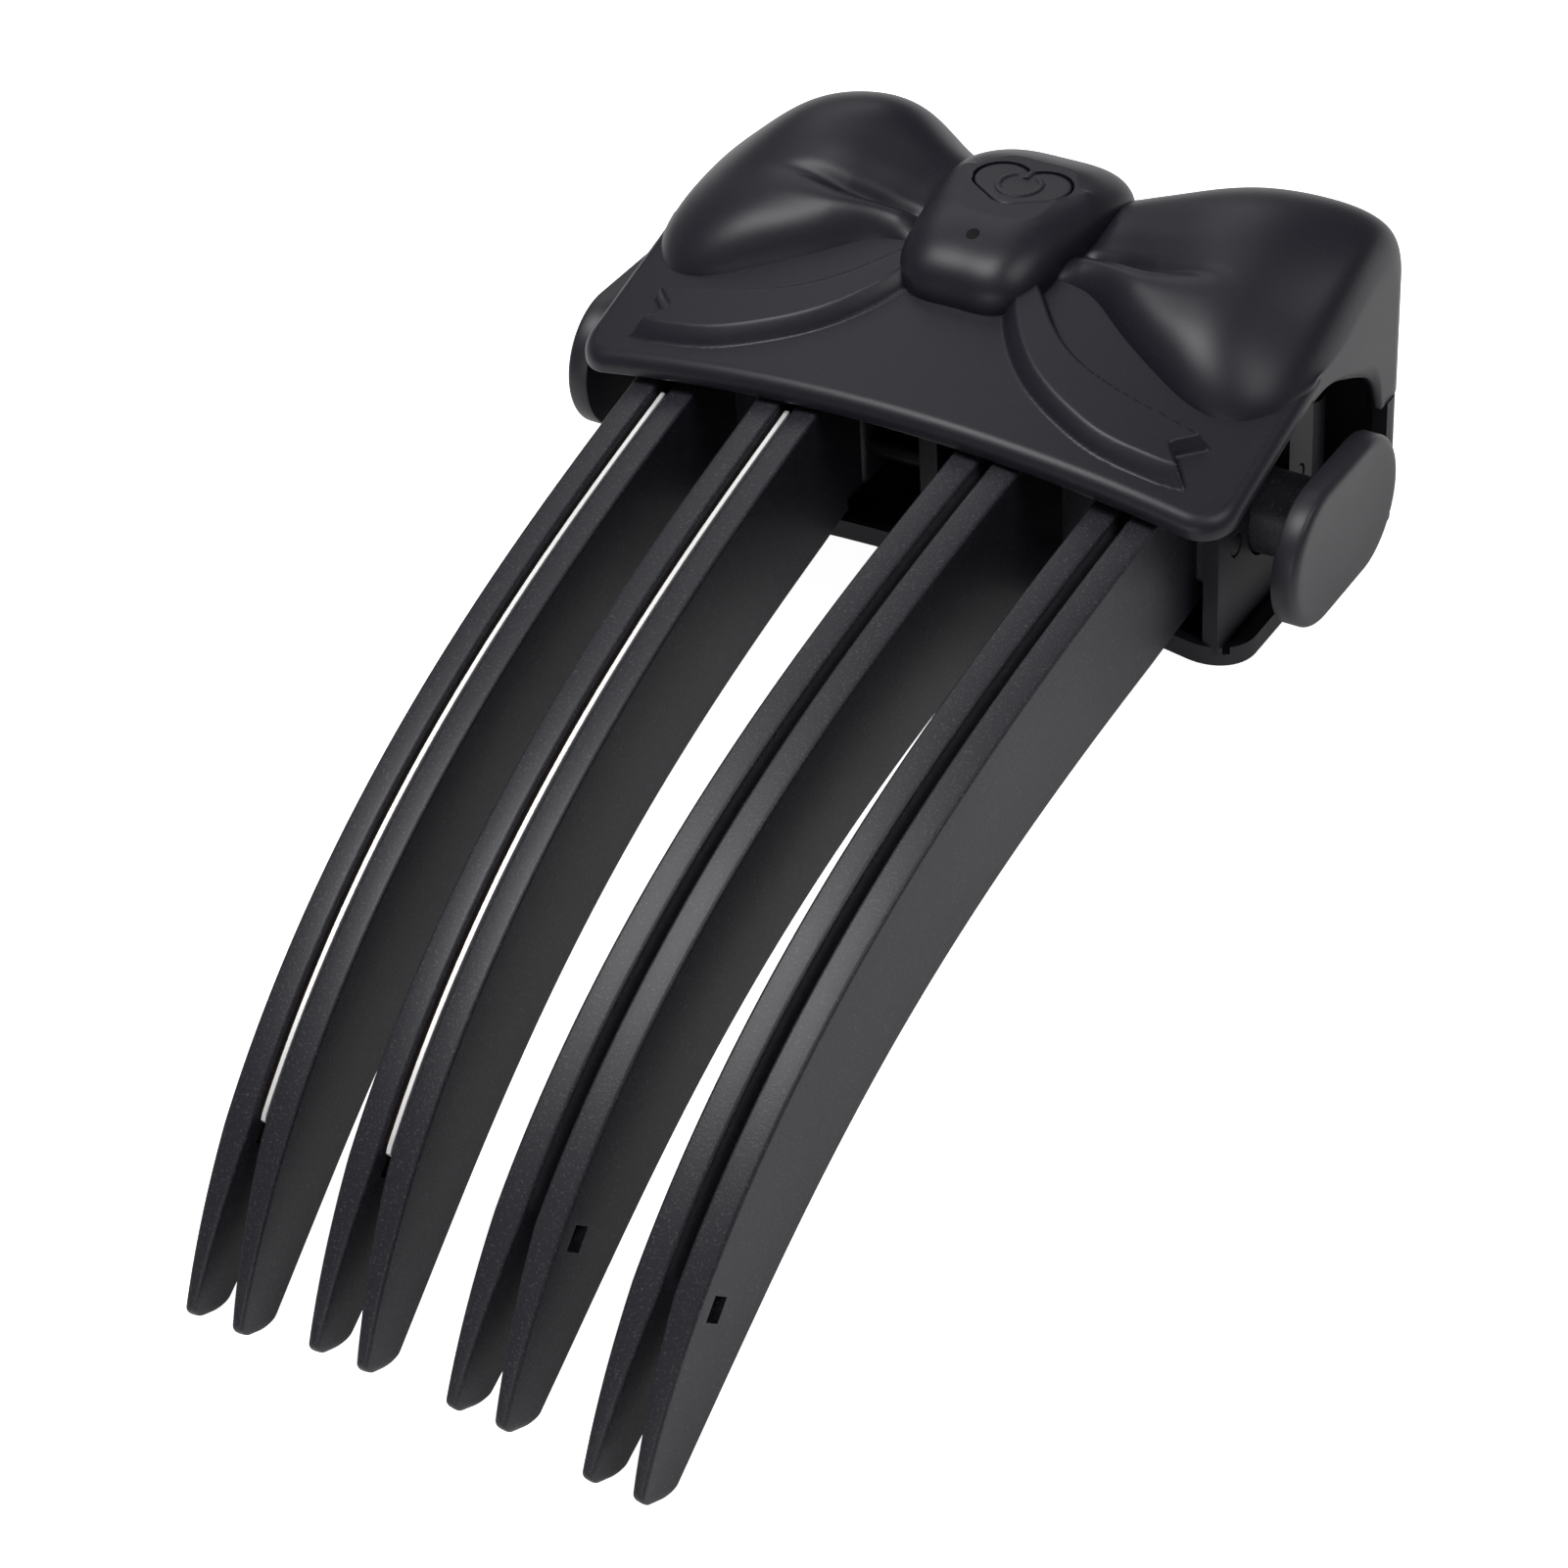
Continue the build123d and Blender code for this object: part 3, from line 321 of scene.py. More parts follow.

# Solids keep their slot's finish, but for the rods, springs and base seen through the openings; the
# base's darker copy of the cover plastic is painted shade
slot_of = {entry["node"]: entry["material_slot"] for entry in frame["record"]["subparts"]}
node_finish = {node: black_oxide for node in (
    "guide_rod_front", "guide_rod_back", "return_spring_left", "return_spring_right")}
node_finish["base_shell"] = shaded_base_satin
for node, solid in frame["nodes"].items():
    solid.data.materials.clear()
    solid.data.materials.append(node_finish.get(node, finish_of[slot_of[node]]))


# Cover. The ledge's main sizes are those of the part's source. Loops, knot, tails, folds and
# heart follow the photograph, in which the left loop falls off at its outer rear

HALF_WIDTH, FRONT_Y, BACK_Y, SEAM_Z = 36.0, 3.0, 44.5, -4.2
ARCH_R, LEDGE_Z, LEDGE_SLOPE, LEDGE_BACK = 180.0, 5.6, 0.30, 24.0
LEDGE_CORNER, LEDGE_ROLL = 4.0, 1.2
COVER_WALL = 1.3
# Each station: x, the y at which the loop leaves the ledge, then y and z over the loop
LOOP_STATIONS = [
    (0.0, 22.5, (25.0, 12.0), (29.0, 11.9), (34.0, 12.3), (39.0, 11.5), (42.5, 7.0)),
    (6.0, 22.5, (25.0, 12.0), (29.0, 11.9), (34.0, 12.6), (39.0, 11.6), (42.6, 7.0)),
    (11.0, 22.8, (25.0, 12.7), (28.0, 12.4), (35.0, 14.3), (40.0, 12.4), (43.3, 7.5)),
]
RIGHT_STATIONS = LOOP_STATIONS + [
    (16.0, 20.0, (22.6, 13.1), (27.0, 13.6), (35.5, 16.1), (41.0, 13.8), (44.0, 9.0)),
    (22.0, 16.6, (19.4, 12.2), (26.0, 15.0), (36.0, 17.6), (41.8, 15.3), (44.5, 10.0)),
    (28.0, 14.4, (17.3, 10.5), (25.0, 14.4), (36.0, 17.5), (42.0, 15.8), (44.5, 10.6)),
    (32.5, 15.6, (18.4, 9.2), (25.5, 12.4), (36.0, 16.3), (41.8, 15.4), (44.5, 10.6)),
    (34.8, 18.6, (21.2, 8.6), (27.0, 11.0), (36.0, 14.9), (41.4, 14.2), (43.9, 9.8)),
    (35.6, 21.0, (23.5, 8.2), (29.0, 10.0), (36.0, 13.2), (40.8, 12.7), (42.9, 8.6)),
    (35.9, 22.5, (25.0, 7.9), (31.0, 9.0), (36.0, 11.2), (39.9, 11.0), (41.8, 7.4)),
]
LEFT_STATIONS = LOOP_STATIONS + [
    (16.0, 20.0, (22.6, 13.1), (27.0, 14.0), (36.0, 17.2), (41.4, 15.0), (44.2, 9.6)),
    (22.0, 16.6, (19.4, 12.2), (26.0, 15.1), (36.0, 17.9), (41.6, 15.5), (44.4, 10.0)),
    (28.0, 14.4, (17.3, 10.5), (25.0, 13.8), (35.4, 15.9), (41.4, 13.3), (44.2, 9.0)),
    (32.5, 15.6, (18.4, 9.2), (25.0, 11.6), (34.8, 12.4), (40.8, 10.4), (43.8, 7.4)),
    (34.8, 18.6, (21.2, 8.6), (26.5, 10.0), (34.6, 10.3), (40.0, 8.8), (42.8, 6.2)),
    (35.6, 21.0, (23.5, 8.1), (28.6, 9.0), (34.8, 9.2), (39.4, 8.0), (41.8, 5.8)),
    (35.9, 22.5, (25.0, 7.7), (30.6, 8.2), (35.2, 8.4), (39.0, 7.4), (40.8, 5.4)),
]
# How far a loop starts under the ledge's top, and y and z of its side wall's open lower edge
LOOP_SINK = 0.6
SIDE_ARCH = [(22.5, 5.6), (26.5, 5.5), (29.4, 4.4), (33.4, 2.4), (36.7, -0.1), (38.6, SEAM_Z)]
# Each level: z, front y, back y, half width towards the front and towards the back
KNOT_LEVELS = [
    (5.0, 18.5, 41.5, 5.2, 8.0),
    (9.3, 16.7, 42.4, 6.7, 8.9),
    (11.8, 16.8, 42.2, 7.0, 9.2),
    (13.8, 18.3, 40.9, 6.5, 9.0),
    (15.0, 20.4, 38.8, 6.0, 8.3),
    (15.7, 22.6, 37.0, 5.3, 7.4),
    (16.0, 24.2, 35.8, 4.5, 6.6),
]
# Right tail in plan: inner edge, front edge, the fork's notch; and its height over the ledge
TAIL_INNER = [(5.6, 23.0), (8.7, 20.0), (11.8, 16.8), (15.5, 14.3), (20.5, 12.7), (26.0, 11.9),
              (30.9, 11.3)]
TAIL_FRONT = [(30.8, 6.1), (28.7, 5.7), (25.6, 5.6), (21.5, 5.9), (16.6, 7.5), (13.4, 9.1),
              (10.2, 11.4), (7.5, 14.3), (5.8, 16.8), (4.6, 20.0)]
TAIL_FORK = (28.2, 8.9)
TAIL_RISE = 1.5
# Valley of the fold in plan
FOLD_LINE = [(9.5, 27.4), (13.3, 26.9), (17.0, 26.0), (21.4, 25.8), (25.5, 25.4), (30.0, 25.0)]


def ledge_top(x, y):
    """Front height, plus the slope, less the fall of the cross arch."""
    return LEDGE_Z + LEDGE_SLOPE * (y - FRONT_Y) - (ARCH_R - np.sqrt(ARCH_R ** 2 - x * x))


def loop_profile(station, count):
    """Spline over the loop at one x, from the ledge over the top, then straight down the rear.
    It starts a little under the ledge's top."""
    x, front, *rest = station
    points = [(front, float(ledge_top(x, front)) - LOOP_SINK), *rest]
    steep = np.array((0.25, 1.0)) / np.hypot(0.25, 1.0)
    over = through(points, count, (steep, (0.0, -1.0)))
    down = np.linspace(rest[-1], (rest[-1][0], SEAM_Z), 9)[1:]
    line = np.concatenate([over, down])
    return np.column_stack([np.full(len(line), x), line])


def fold_height(x, y):
    """Fold that runs out of the knot: a narrow valley between two low ridges, fading with x.
    Each is a bell curve of the distance in y from the fold line."""
    fold_x, fold_y = np.array(FOLD_LINE).T
    line = np.interp(x, fold_x, fold_y)
    fade = smooth((x - 7.5) / 3) * (1 - smooth((x - 12) / 15))
    valley = np.exp(-((y - line) / 0.8) ** 2)
    ridge = np.exp(-((y - line + 2.6) / 1.7) ** 2)
    upper = np.exp(-((y - line - 3.4) / 2.2) ** 2)
    return fade * (0.7 * ridge + 0.4 * upper - 1.2 * valley)


def bow_loops():
    """The two loops with their side walls, under one wall thickness. A side wall runs straight
    from the last profile to the arch that it leaves open over the knob's stem."""
    shell = Shell()
    for side, stations in ((1, RIGHT_STATIONS), (-1, LEFT_STATIONS)):
        surface = through([loop_profile(station, 110) for station in stations], 120)
        x, y, z = np.moveaxis(surface, -1, 0)
        top = smooth((z - 9.5) / 1.5)
        surface[..., 2] = z + top * fold_height(x, y)
        profile = surface[-1]
        arch = through(SIDE_ARCH, len(profile))
        arch = np.column_stack([np.full(len(profile), profile[0, 0]), arch])
        wall = profile + (arch - profile) * np.linspace(0, 1, 8)[:, None, None]
        for part in (surface, wall):
            shell.grid(part * (side, 1, 1))
    return shell.piece("bow_loops", "housing", "cover_plastic", "top_cover", sharp=50,
                       wall=COVER_WALL)


def tail_relief(x, y):
    """Height of the ribbon tails over the ledge. A point is inside where a ray along x crosses
    the outline an odd number of times. The height grows with the distance from the outline:
    steeply at the inner edge and fork, with a wider bevel at the front edge."""
    x = np.abs(x)
    inner, front = through(TAIL_INNER, 60), through(TAIL_FRONT, 60)
    spot = np.stack([x, y], -1)[..., None, :]

    def distance(line):
        a, b = line[:-1], line[1:]
        run = b - a
        t = np.clip(((spot - a) * run).sum(-1) / (run ** 2).sum(-1), 0, 1)
        return np.sqrt((((spot - a) - run * t[..., None]) ** 2).sum(-1)).min(-1)

    fork = np.array([inner[-1], TAIL_FORK, front[0]])
    outline = np.concatenate([inner, [TAIL_FORK], front])
    ahead = np.roll(outline, -1, axis=0)
    crosses = (outline[:, 1] > y[..., None]) != (ahead[:, 1] > y[..., None])
    step = ahead - outline
    rise = np.where(np.abs(step[:, 1]) < 1e-9, 1e-9, step[:, 1])
    cut = outline[:, 0] + (y[..., None] - outline[:, 1]) * step[:, 0] / rise
    inside = (crosses & (x[..., None] < cut)).sum(-1) % 2 == 1
    edge = np.minimum(smooth(distance(inner) / 0.5), smooth(distance(fork) / 0.45))
    bevel = np.clip(distance(front) / 1.2, 0, 1) ** 0.65
    return np.where(inside, TAIL_RISE * np.minimum(edge, bevel), 0.0)


def ledge_front(x, inset):
    """Front line of the ledge in plan, with its round corners, drawn in by inset."""
    radius = LEDGE_CORNER - inset
    over = np.clip(np.abs(x) - (HALF_WIDTH - LEDGE_CORNER), 0, radius)
    return FRONT_Y + LEDGE_CORNER - np.sqrt(radius ** 2 - over ** 2)


def ledge_rim():
    """Rim of the ledge. Half of its outline runs from the middle of the front round the corner
    and along the side. Each row lies offset inside it and drop under the ledge's top, from the
    underside round a soft lower edge to the rolled upper one. The left half mirrors it."""
    ahead, bend, along = 59, 16, 20
    corner_x, corner_y = HALF_WIDTH - LEDGE_CORNER, FRONT_Y + LEDGE_CORNER
    back = np.linspace(corner_y, LEDGE_BACK, along + 1)[1:]
    centre = np.concatenate([
        np.column_stack([np.linspace(0, corner_x, ahead + 1)[:-1], np.full(ahead, corner_y)]),
        np.tile((corner_x, corner_y), (bend, 1)),
        np.column_stack([np.full(along, corner_x), back]),
    ])
    turn = np.linspace(0, pi / 2, bend)
    out = np.concatenate([
        np.tile((0.0, -1.0), (ahead, 1)),
        np.column_stack([np.sin(turn), -np.cos(turn)]),
        np.tile((1.0, 0.0), (along, 1)),
    ])
    angle = np.linspace(0, pi / 2, 14)
    offset = np.concatenate([[3.4, 1.9, 0.4, 0.2, 0.06, 0.0], LEDGE_ROLL * (1 - np.cos(angle))])
    drop = np.concatenate([[2.05, 2.05, 2.05, 2.0, 1.88, 1.7], LEDGE_ROLL * (1 - np.sin(angle))])
    plan = centre[None] + out[None] * (LEDGE_CORNER - offset[:, None, None])
    z = ledge_top(plan[..., 0], plan[..., 1]) - drop[:, None]
    right = np.concatenate([plan, z[..., None]], -1)
    return np.concatenate([right[:, ::-1] * (-1, 1, 1), right[:, 1:]], 1)


def ledge_plate():
    """Arched ledge: a height field with the tails, and a rolled rim carried round its outline.
    The columns lie a little closer together near the sides."""
    side = HALF_WIDTH - LEDGE_ROLL
    even = np.linspace(-1, 1, 330)
    x = side * np.sin(even * pi / 2) * 0.12 + side * even * 0.88
    t = np.linspace(0, 1, 112)
    front = ledge_front(x, LEDGE_ROLL)
    y = front[None, :] + t[:, None] * (LEDGE_BACK + 1.0 - front[None, :])
    x = np.broadcast_to(x, y.shape)
    near = smooth((y - front) / 1.5) * smooth((side - np.abs(x)) / 1.5)
    z = ledge_top(x, y) + near * tail_relief(x, y)
    shell = Shell()
    shell.grid(np.stack([x, y, z], -1))
    shell.grid(ledge_rim())
    return shell.piece("ledge_plate", "housing", "cover_plastic", None, sharp=60)


def knot_outline(level):
    """Closed outline of the knot at one level, splined through shares of its two half widths."""
    z, front, back, w_front, w_back = level
    right = [
        (0.72 * w_front, front + 0.5), (w_front, front + 2.4), (0.9 * w_back, front + 7.5),
        (w_back, (front + back) / 2 + 2.5), (0.93 * w_back, back - 3.2), (0.6 * w_back, back - 0.6),
    ]
    outline = [(0, front), *right, (0, back), *[(-x, y) for x, y in reversed(right)]]
    line = periodic(outline, KNOT_COUNT)
    return np.column_stack([line, np.full(KNOT_COUNT, z)])


# Knot and heart have the same number of points round them, so that one runs into the other
KNOT_TOP, KNOT_COUNT = 16.0, 144
HEART_LOBE_X, HEART_LOBE_Y, HEART_LOBE_R = 2.3, 31.5, 2.8
HEART_TIP_Y, HEART_TIP_R, HEART_MIDDLE_Y = 29.5, 2.4, 30.9
BUTTON_GAP, BUTTON_DEPTH, BUTTON_EDGE, BUTTON_CROWN = 0.25, 2.7, 0.25, 0.05
SIGN_R, SIGN_ARC, SIGN_BAR = 2.15, (122, 418), (32.1, 33.7)
# Across the sign's line and up from the cap
SIGN_SECTION = ((-0.40, -0.1), (-0.35, 0.04), (-0.18, 0.14),
                (0.18, 0.14), (0.35, 0.04), (0.40, -0.1))
PINHOLE_Y = 21.4
# Radius and height over the knot's slope
PINHOLE_RINGS = ((0.70, -0.05), (0.66, 0.03), (0.6, 0.045), (0.05, 0.04))


def heart_outline(grow, z):
    """Heart as the farthest reach of two shoulders hulled with one tip, by angle round its middle:
    the ray's far crossing of the circles and of the straight flanks between them."""
    middle = np.array((0.0, HEART_MIDDLE_Y))
    angle = np.linspace(-pi / 2, 1.5 * pi, KNOT_COUNT, endpoint=False)
    ray = np.column_stack([np.cos(angle), np.sin(angle)])
    reach = np.zeros(KNOT_COUNT)
    flank = np.linspace(0, 1, 60)
    tip = np.array((0.0, HEART_TIP_Y))
    for side in (-1, 1):
        shoulder = np.array((side * HEART_LOBE_X, HEART_LOBE_Y))
        centres = shoulder + (tip - shoulder) * flank[:, None]
        radii = HEART_LOBE_R + (HEART_TIP_R - HEART_LOBE_R) * flank + grow
        away = centres - middle
        along = ray @ away.T
        inner = along ** 2 - (away ** 2).sum(1) + radii ** 2
        far = np.where(inner > 0, along + np.sqrt(np.maximum(inner, 0)), 0)
        reach = np.maximum(reach, far.max(1))
    line = middle + ray * reach[:, None]
    return np.column_stack([line, np.full(KNOT_COUNT, z)])


def knot_levels():
    """Outlines of the knot from its foot to its flat top."""
    return through([knot_outline(level) for level in KNOT_LEVELS], 46)


def knot():
    """Pillow-shaped knot, its flat top running into the heart-shaped groove."""
    levels = knot_levels()
    rim = heart_outline(BUTTON_GAP, KNOT_TOP)
    t = np.linspace(0, 1, 8)[1:, None, None]
    flat = levels[-1] + (rim - levels[-1]) * t
    groove = np.stack([heart_outline(BUTTON_GAP - 0.04 * (i > 0), KNOT_TOP - d)
                       for i, d in enumerate((0.08, 0.6, 1.6))])
    shell = Shell()
    shell.grid(np.concatenate([levels, flat, groove]), closed=True)
    return shell.piece("bow_knot", "housing", "cover_plastic", None, sharp=40)


def knot_front(y):
    """Height of the knot's front slope on the centre line, above its foremost point."""
    line = knot_levels()[:, 0]
    slope = line[line[:, 1].argmin():]
    return np.interp(y, slope[:, 1], slope[:, 2])


def rear_wall():
    """Low wall between the loops at the rear: one profile of y and z carried straight across,
    with a soft upper edge."""
    top, back, half, edge, lip = 6.0, BACK_Y - 0.1, 19.0, 0.8, 2.9
    angle = np.linspace(0, pi / 2, 7)
    bend = np.column_stack([back - edge * (1 - np.cos(angle)), top - edge * (1 - np.sin(angle))])
    line = np.concatenate([[(back, SEAM_Z), (back, 0.0)], bend, [(back - lip, top)]])
    surface = np.empty((20, len(line), 3))
    surface[..., 0] = np.linspace(-half, half, 20)[:, None]
    surface[..., 1:] = line
    shell = Shell()
    shell.grid(surface)
    return shell.piece("rear_wall", "housing", "cover_plastic", None)


def pinhole():
    """Small dark funnel in the knot's front slope, over the status light's pipe. Its near-black
    plastic is painted shade standing in for the open hole.
    """
    turn = np.linspace(0, 2 * pi, 32, endpoint=False)
    rows = []
    for radius, lift in PINHOLE_RINGS:
        x, y = radius * np.cos(turn), PINHOLE_Y + radius * np.sin(turn)
        rows.append(np.column_stack([x, y, knot_front(y) + lift]))
    shell = Shell()
    shell.grid(np.stack(rows), closed=True, cap_last=True)
    return shell.piece("status_pinhole_painted_shade", "housing", "dark_plastic", None)


def power_button():
    """Heart-shaped cap: its side, a quarter-round edge, and a top that rises to its middle."""
    shoulder = KNOT_TOP - 0.3
    rows = [heart_outline(0, KNOT_TOP - BUTTON_DEPTH), heart_outline(0, shoulder)]
    for angle in np.linspace(0, pi / 2, 6)[1:]:
        rows.append(heart_outline(-BUTTON_EDGE * (1 - cos(angle)),
                                  shoulder + BUTTON_EDGE * sin(angle)))
    edge = rows[-1]
    middle = np.array((0.0, HEART_MIDDLE_Y, KNOT_TOP))
    for t in np.linspace(0, 0.94, 12)[1:]:
        ring = edge + (middle - edge) * t
        ring[:, 2] = KNOT_TOP - BUTTON_CROWN + BUTTON_CROWN * t
        rows.append(ring)
    shell = Shell()
    shell.grid(np.stack(rows), closed=True, cap_last=True)
    return shell.piece("heart_button", "button", "button_plastic", "power_button")


def power_sign():
    """Open ring with a bar in its gap, as a low round-backed line carried along its path."""
    angle = np.radians(np.linspace(*SIGN_ARC, 60))
    ring = np.column_stack([SIGN_R * np.cos(angle), HEART_MIDDLE_Y + SIGN_R * np.sin(angle)])
    bar = np.column_stack([np.zeros(12), np.linspace(*SIGN_BAR, 12)])
    shell = Shell()
    for path in (ring, bar):
        run = np.gradient(path, axis=0)
        across = np.column_stack([-run[:, 1], run[:, 0]]) / np.linalg.norm(run, axis=1)[:, None]
        rows = [np.column_stack([path + across * side, np.full(len(path), KNOT_TOP - 0.02 + lift)])
                for side, lift in SIGN_SECTION]
        shell.grid(np.stack(rows, 1), cap_first=True, cap_last=True)
    return shell.piece("power_sign", "button", "button_plastic", None)


# Blades, sliders and knobs. The main sizes are those of the part's source, but tips, windows and
# sheets follow the photograph. Pairs are numbered from left to right

PITCHES = (-25.31, -10.855, 10.855, 25.31)
PAIR_SPREAD, BLADE_T, BLADE_LENGTH, BLADE_HEIGHT, INNER_RISE = 4.22, 2.9, 103.0, 15.0, 2.02
# Slope of the top edge in degrees, and its growth with the length and with its square
HEADING = (10.82, 0.097, 0.004)
THIN_1, THIN_6 = 0.14, 0.51
# Degrees by which the pairs turn inward and the top edges fall outward
OUTER_TOE, INNER_TOE, TOP_BEVEL = 2.4, 2.25, 6.0
# The sides draw in from here by so many degrees, and the tip closes round past its end
TIP_TAPER_START, TIP_TAPER, TIP_END, TIP_ROUND = 84.0, 2.7, 101.5, 1.25
# Bridge of a fixed comb: front, back, bottom and top
BRIDGE = (10.5, 24.0, -13.0, -11.2)
# Line of the knobs and stems
AXIS_Y, AXIS_Z = 20.3, -6.2
BAR_FRONT, BAR_BACK, BAR_BOTTOM, BAR_TOP = 11.5, 29.2, -10.4, -2.0
BAR_INNER, BAR_OUTER, BASE_FRONT = 7.33, 30.75, 9.0
# Lengths behind the start of the top edge: where roots end, and where moving ones are cut off
FIXED_ROOT, MOVING_ROOT, SHELF = 10.8, 12.6, BASE_FRONT - 3.1
# Window: length along the blade, drop under the top edge, half sizes across, along and up
WINDOW_AT, WINDOW_DROP, WINDOW_HALF = 83.9, 3.1, (2.4, 1.25, 1.1)
SHEET_START, SHEET_END, SHEET_FOOT = -3.5, 83.0, 1.0
# How far a sheet starts under the top edge, and its two sides' distances from the blade's face
LEFT_SHEET, RIGHT_SHEET = (0.6, 0.4, 0.9), (1.7, 0.2, 0.6)
# Distance from the middle of the clip, and radius
STEM = ((30.5, 5.0), (30.9, 4.5), (31.4, 4.25), (32.4, 4.2), (37.9, 4.2), (38.15, 4.1),
        (38.33, 3.9))
KNOB_FACE, KNOB_T, KNOB_R, KNOB_HALF_STRAIGHT, KNOB_EDGE = 41.0, 2.65, 7.29, 4.35, 0.75
BLOCK_FACES = [(0, 1, 3, 2), (4, 6, 7, 5), (0, 4, 5, 1), (2, 3, 7, 6), (0, 2, 6, 4), (1, 5, 7, 3)]


def blade_line(s):
    """Top edge at lengths s: y and z, by summing the heading's cosine and sine, and heading."""
    fine = np.linspace(0, BLADE_LENGTH, 1031)
    heading = np.radians(HEADING[0] + HEADING[1] * fine + HEADING[2] * fine ** 2)
    step = fine[1]
    middle = (heading[1:] + heading[:-1]) / 2
    y = -np.concatenate([[0], np.cumsum(np.cos(middle) * step)])
    z = -np.concatenate([[0], np.cumsum(np.sin(middle) * step)])
    root = np.minimum(s, 0)
    turn = np.interp(s, fine, heading)
    return (np.interp(s, fine, y) - root * np.cos(heading[0]),
            np.interp(s, fine, z) - root * np.sin(heading[0]), turn)


def blade_depth(s):
    """Depth at lengths s: the height, less one share that grows evenly and one that grows with
    the sixth power."""
    u = np.clip(s, 0, None) / BLADE_LENGTH
    return BLADE_HEIGHT * (1 - THIN_1 * u - THIN_6 * u ** 6)


def pair_spec(index):
    """Rise and turn in plan of a pair, and its side of the clip."""
    side = -1 if index < 2 else 1
    if index in (0, 3):
        return 0.0, -side * OUTER_TOE, side
    return INNER_RISE, -side * INNER_TOE, side


def blade_x(index, heated):
    """Place of a blade's root across the clip. The heated blade of a pair is the outer one."""
    side = -1 if index < 2 else 1
    return PITCHES[index] + (side if heated else -side) * PAIR_SPREAD / 2


def tip_lean(index, heated):
    """The right blade of a pair keeps its tip well to the right, the left one a little to the
    left, as a share of what the half width loses."""
    return 1.0 if blade_x(index, heated) > PITCHES[index] else -0.3


def on_blade(index, heated, line, w, d, fall=0.0):
    """Points at widths w and depths d along a blade: depth is laid square to the top edge, and
    all is turned in plan and moved to the blade's place."""
    rise, turn, _ = pair_spec(index)
    y0, z0, heading = line
    x = blade_x(index, heated)
    y = y0[:, None] + d * np.sin(heading)[:, None]
    z = z0[:, None] - d * np.cos(heading)[:, None] + rise + fall
    a = radians(turn)
    return np.stack([x + w * cos(a) - y * sin(a), w * sin(a) + y * cos(a), z], -1)


def blade_surface(index, heated, root, shelf=None):
    """Rounded section carried along the curved top edge. Its top falls outward, its depth
    shrinks along the blade, and the sides draw in near the tip, which leans to one side and
    closes round. Behind a shelf the root is cut off at the slider bar's underside."""
    rise, _, side = pair_spec(index)
    if shelf is None:
        back = np.linspace(-root, 0, 6)[:-1]
    else:
        back = np.array([-root, -shelf, -shelf, -shelf / 2])
    s = np.concatenate([back, np.linspace(0, TIP_TAPER_START, 70)[:-1],
                        np.linspace(TIP_TAPER_START, TIP_END, 24)[:-1],
                        TIP_END + TIP_ROUND * np.sin(np.linspace(0, pi / 2, 9))])
    line = blade_line(s)
    depth = blade_depth(s)
    if shelf is not None:
        _, z0, heading = line
        depth[:2] = (z0[:2] + rise - BAR_BOTTOM) / np.cos(heading[:2])
    half = BLADE_T / 2 - np.clip(s - TIP_TAPER_START, 0, None) * tan(radians(TIP_TAPER))
    aside = tip_lean(index, heated) * (BLADE_T / 2 - half)
    end = np.clip((s - TIP_END) / TIP_ROUND, 0, 1)
    close = np.sqrt(np.maximum(1 - end ** 2, 0.0009))
    half = half * (0.3 + 0.7 * close)
    middle = depth / 2
    radius = np.minimum(0.38, half * 0.7)
    angle = np.linspace(0, pi / 2, 6)
    w, d = [], []
    for sign, low, a in ((1, False, angle), (1, True, angle[::-1]),
                         (-1, True, angle), (-1, False, angle[::-1])):
        off_w = radius[:, None] * (1 - np.sin(a)[None])
        off_d = radius[:, None] * (1 - np.cos(a)[None])
        w.append(sign * (half[:, None] - off_w))
        d.append(depth[:, None] - off_d if low else off_d)
    w, d = np.concatenate(w, 1), np.concatenate(d, 1)
    d = middle[:, None] + (d - middle[:, None]) * close[:, None]
    fall = -side * tan(radians(TOP_BEVEL)) * w
    return on_blade(index, heated, line, w + aside[:, None], d, fall)


def soft_block(x0, x1, y0, y1, z0, z1, radius=0.6):
    """Block with round edges: a round-cornered outline carried up through a quarter-round rim,
    over the side and through the other rim."""
    turn = np.linspace(0, 2 * pi, 40, endpoint=False) + pi / 40
    dx, dy = np.cos(turn), np.sin(turn)
    angle = np.linspace(0, pi / 2, 5)
    rows = []
    for low, a in [(True, v) for v in angle] + [(False, v) for v in angle[::-1]]:
        inset = radius * (1 - np.sin(a))
        z = z0 + radius * (1 - cos(a)) if low else z1 - radius * (1 - cos(a))
        reach = radius - inset
        x = np.where(dx > 0, x1 - radius, x0 + radius) + dx * reach
        y = np.where(dy > 0, y1 - radius, y0 + radius) + dy * reach
        rows.append(np.column_stack([x, y, np.full(40, z)]))
    return np.stack(rows)


def lathe_x(profile, side):
    """Profile of x and radius, turned about the knob's axis."""
    turn = np.linspace(0, 2 * pi, 48, endpoint=False)
    x, r = np.array(profile).T[:, :, None]
    y = AXIS_Y + r * np.cos(turn)
    return np.stack([np.broadcast_to(x * side, y.shape), y, AXIS_Z + r * np.sin(turn)], -1)


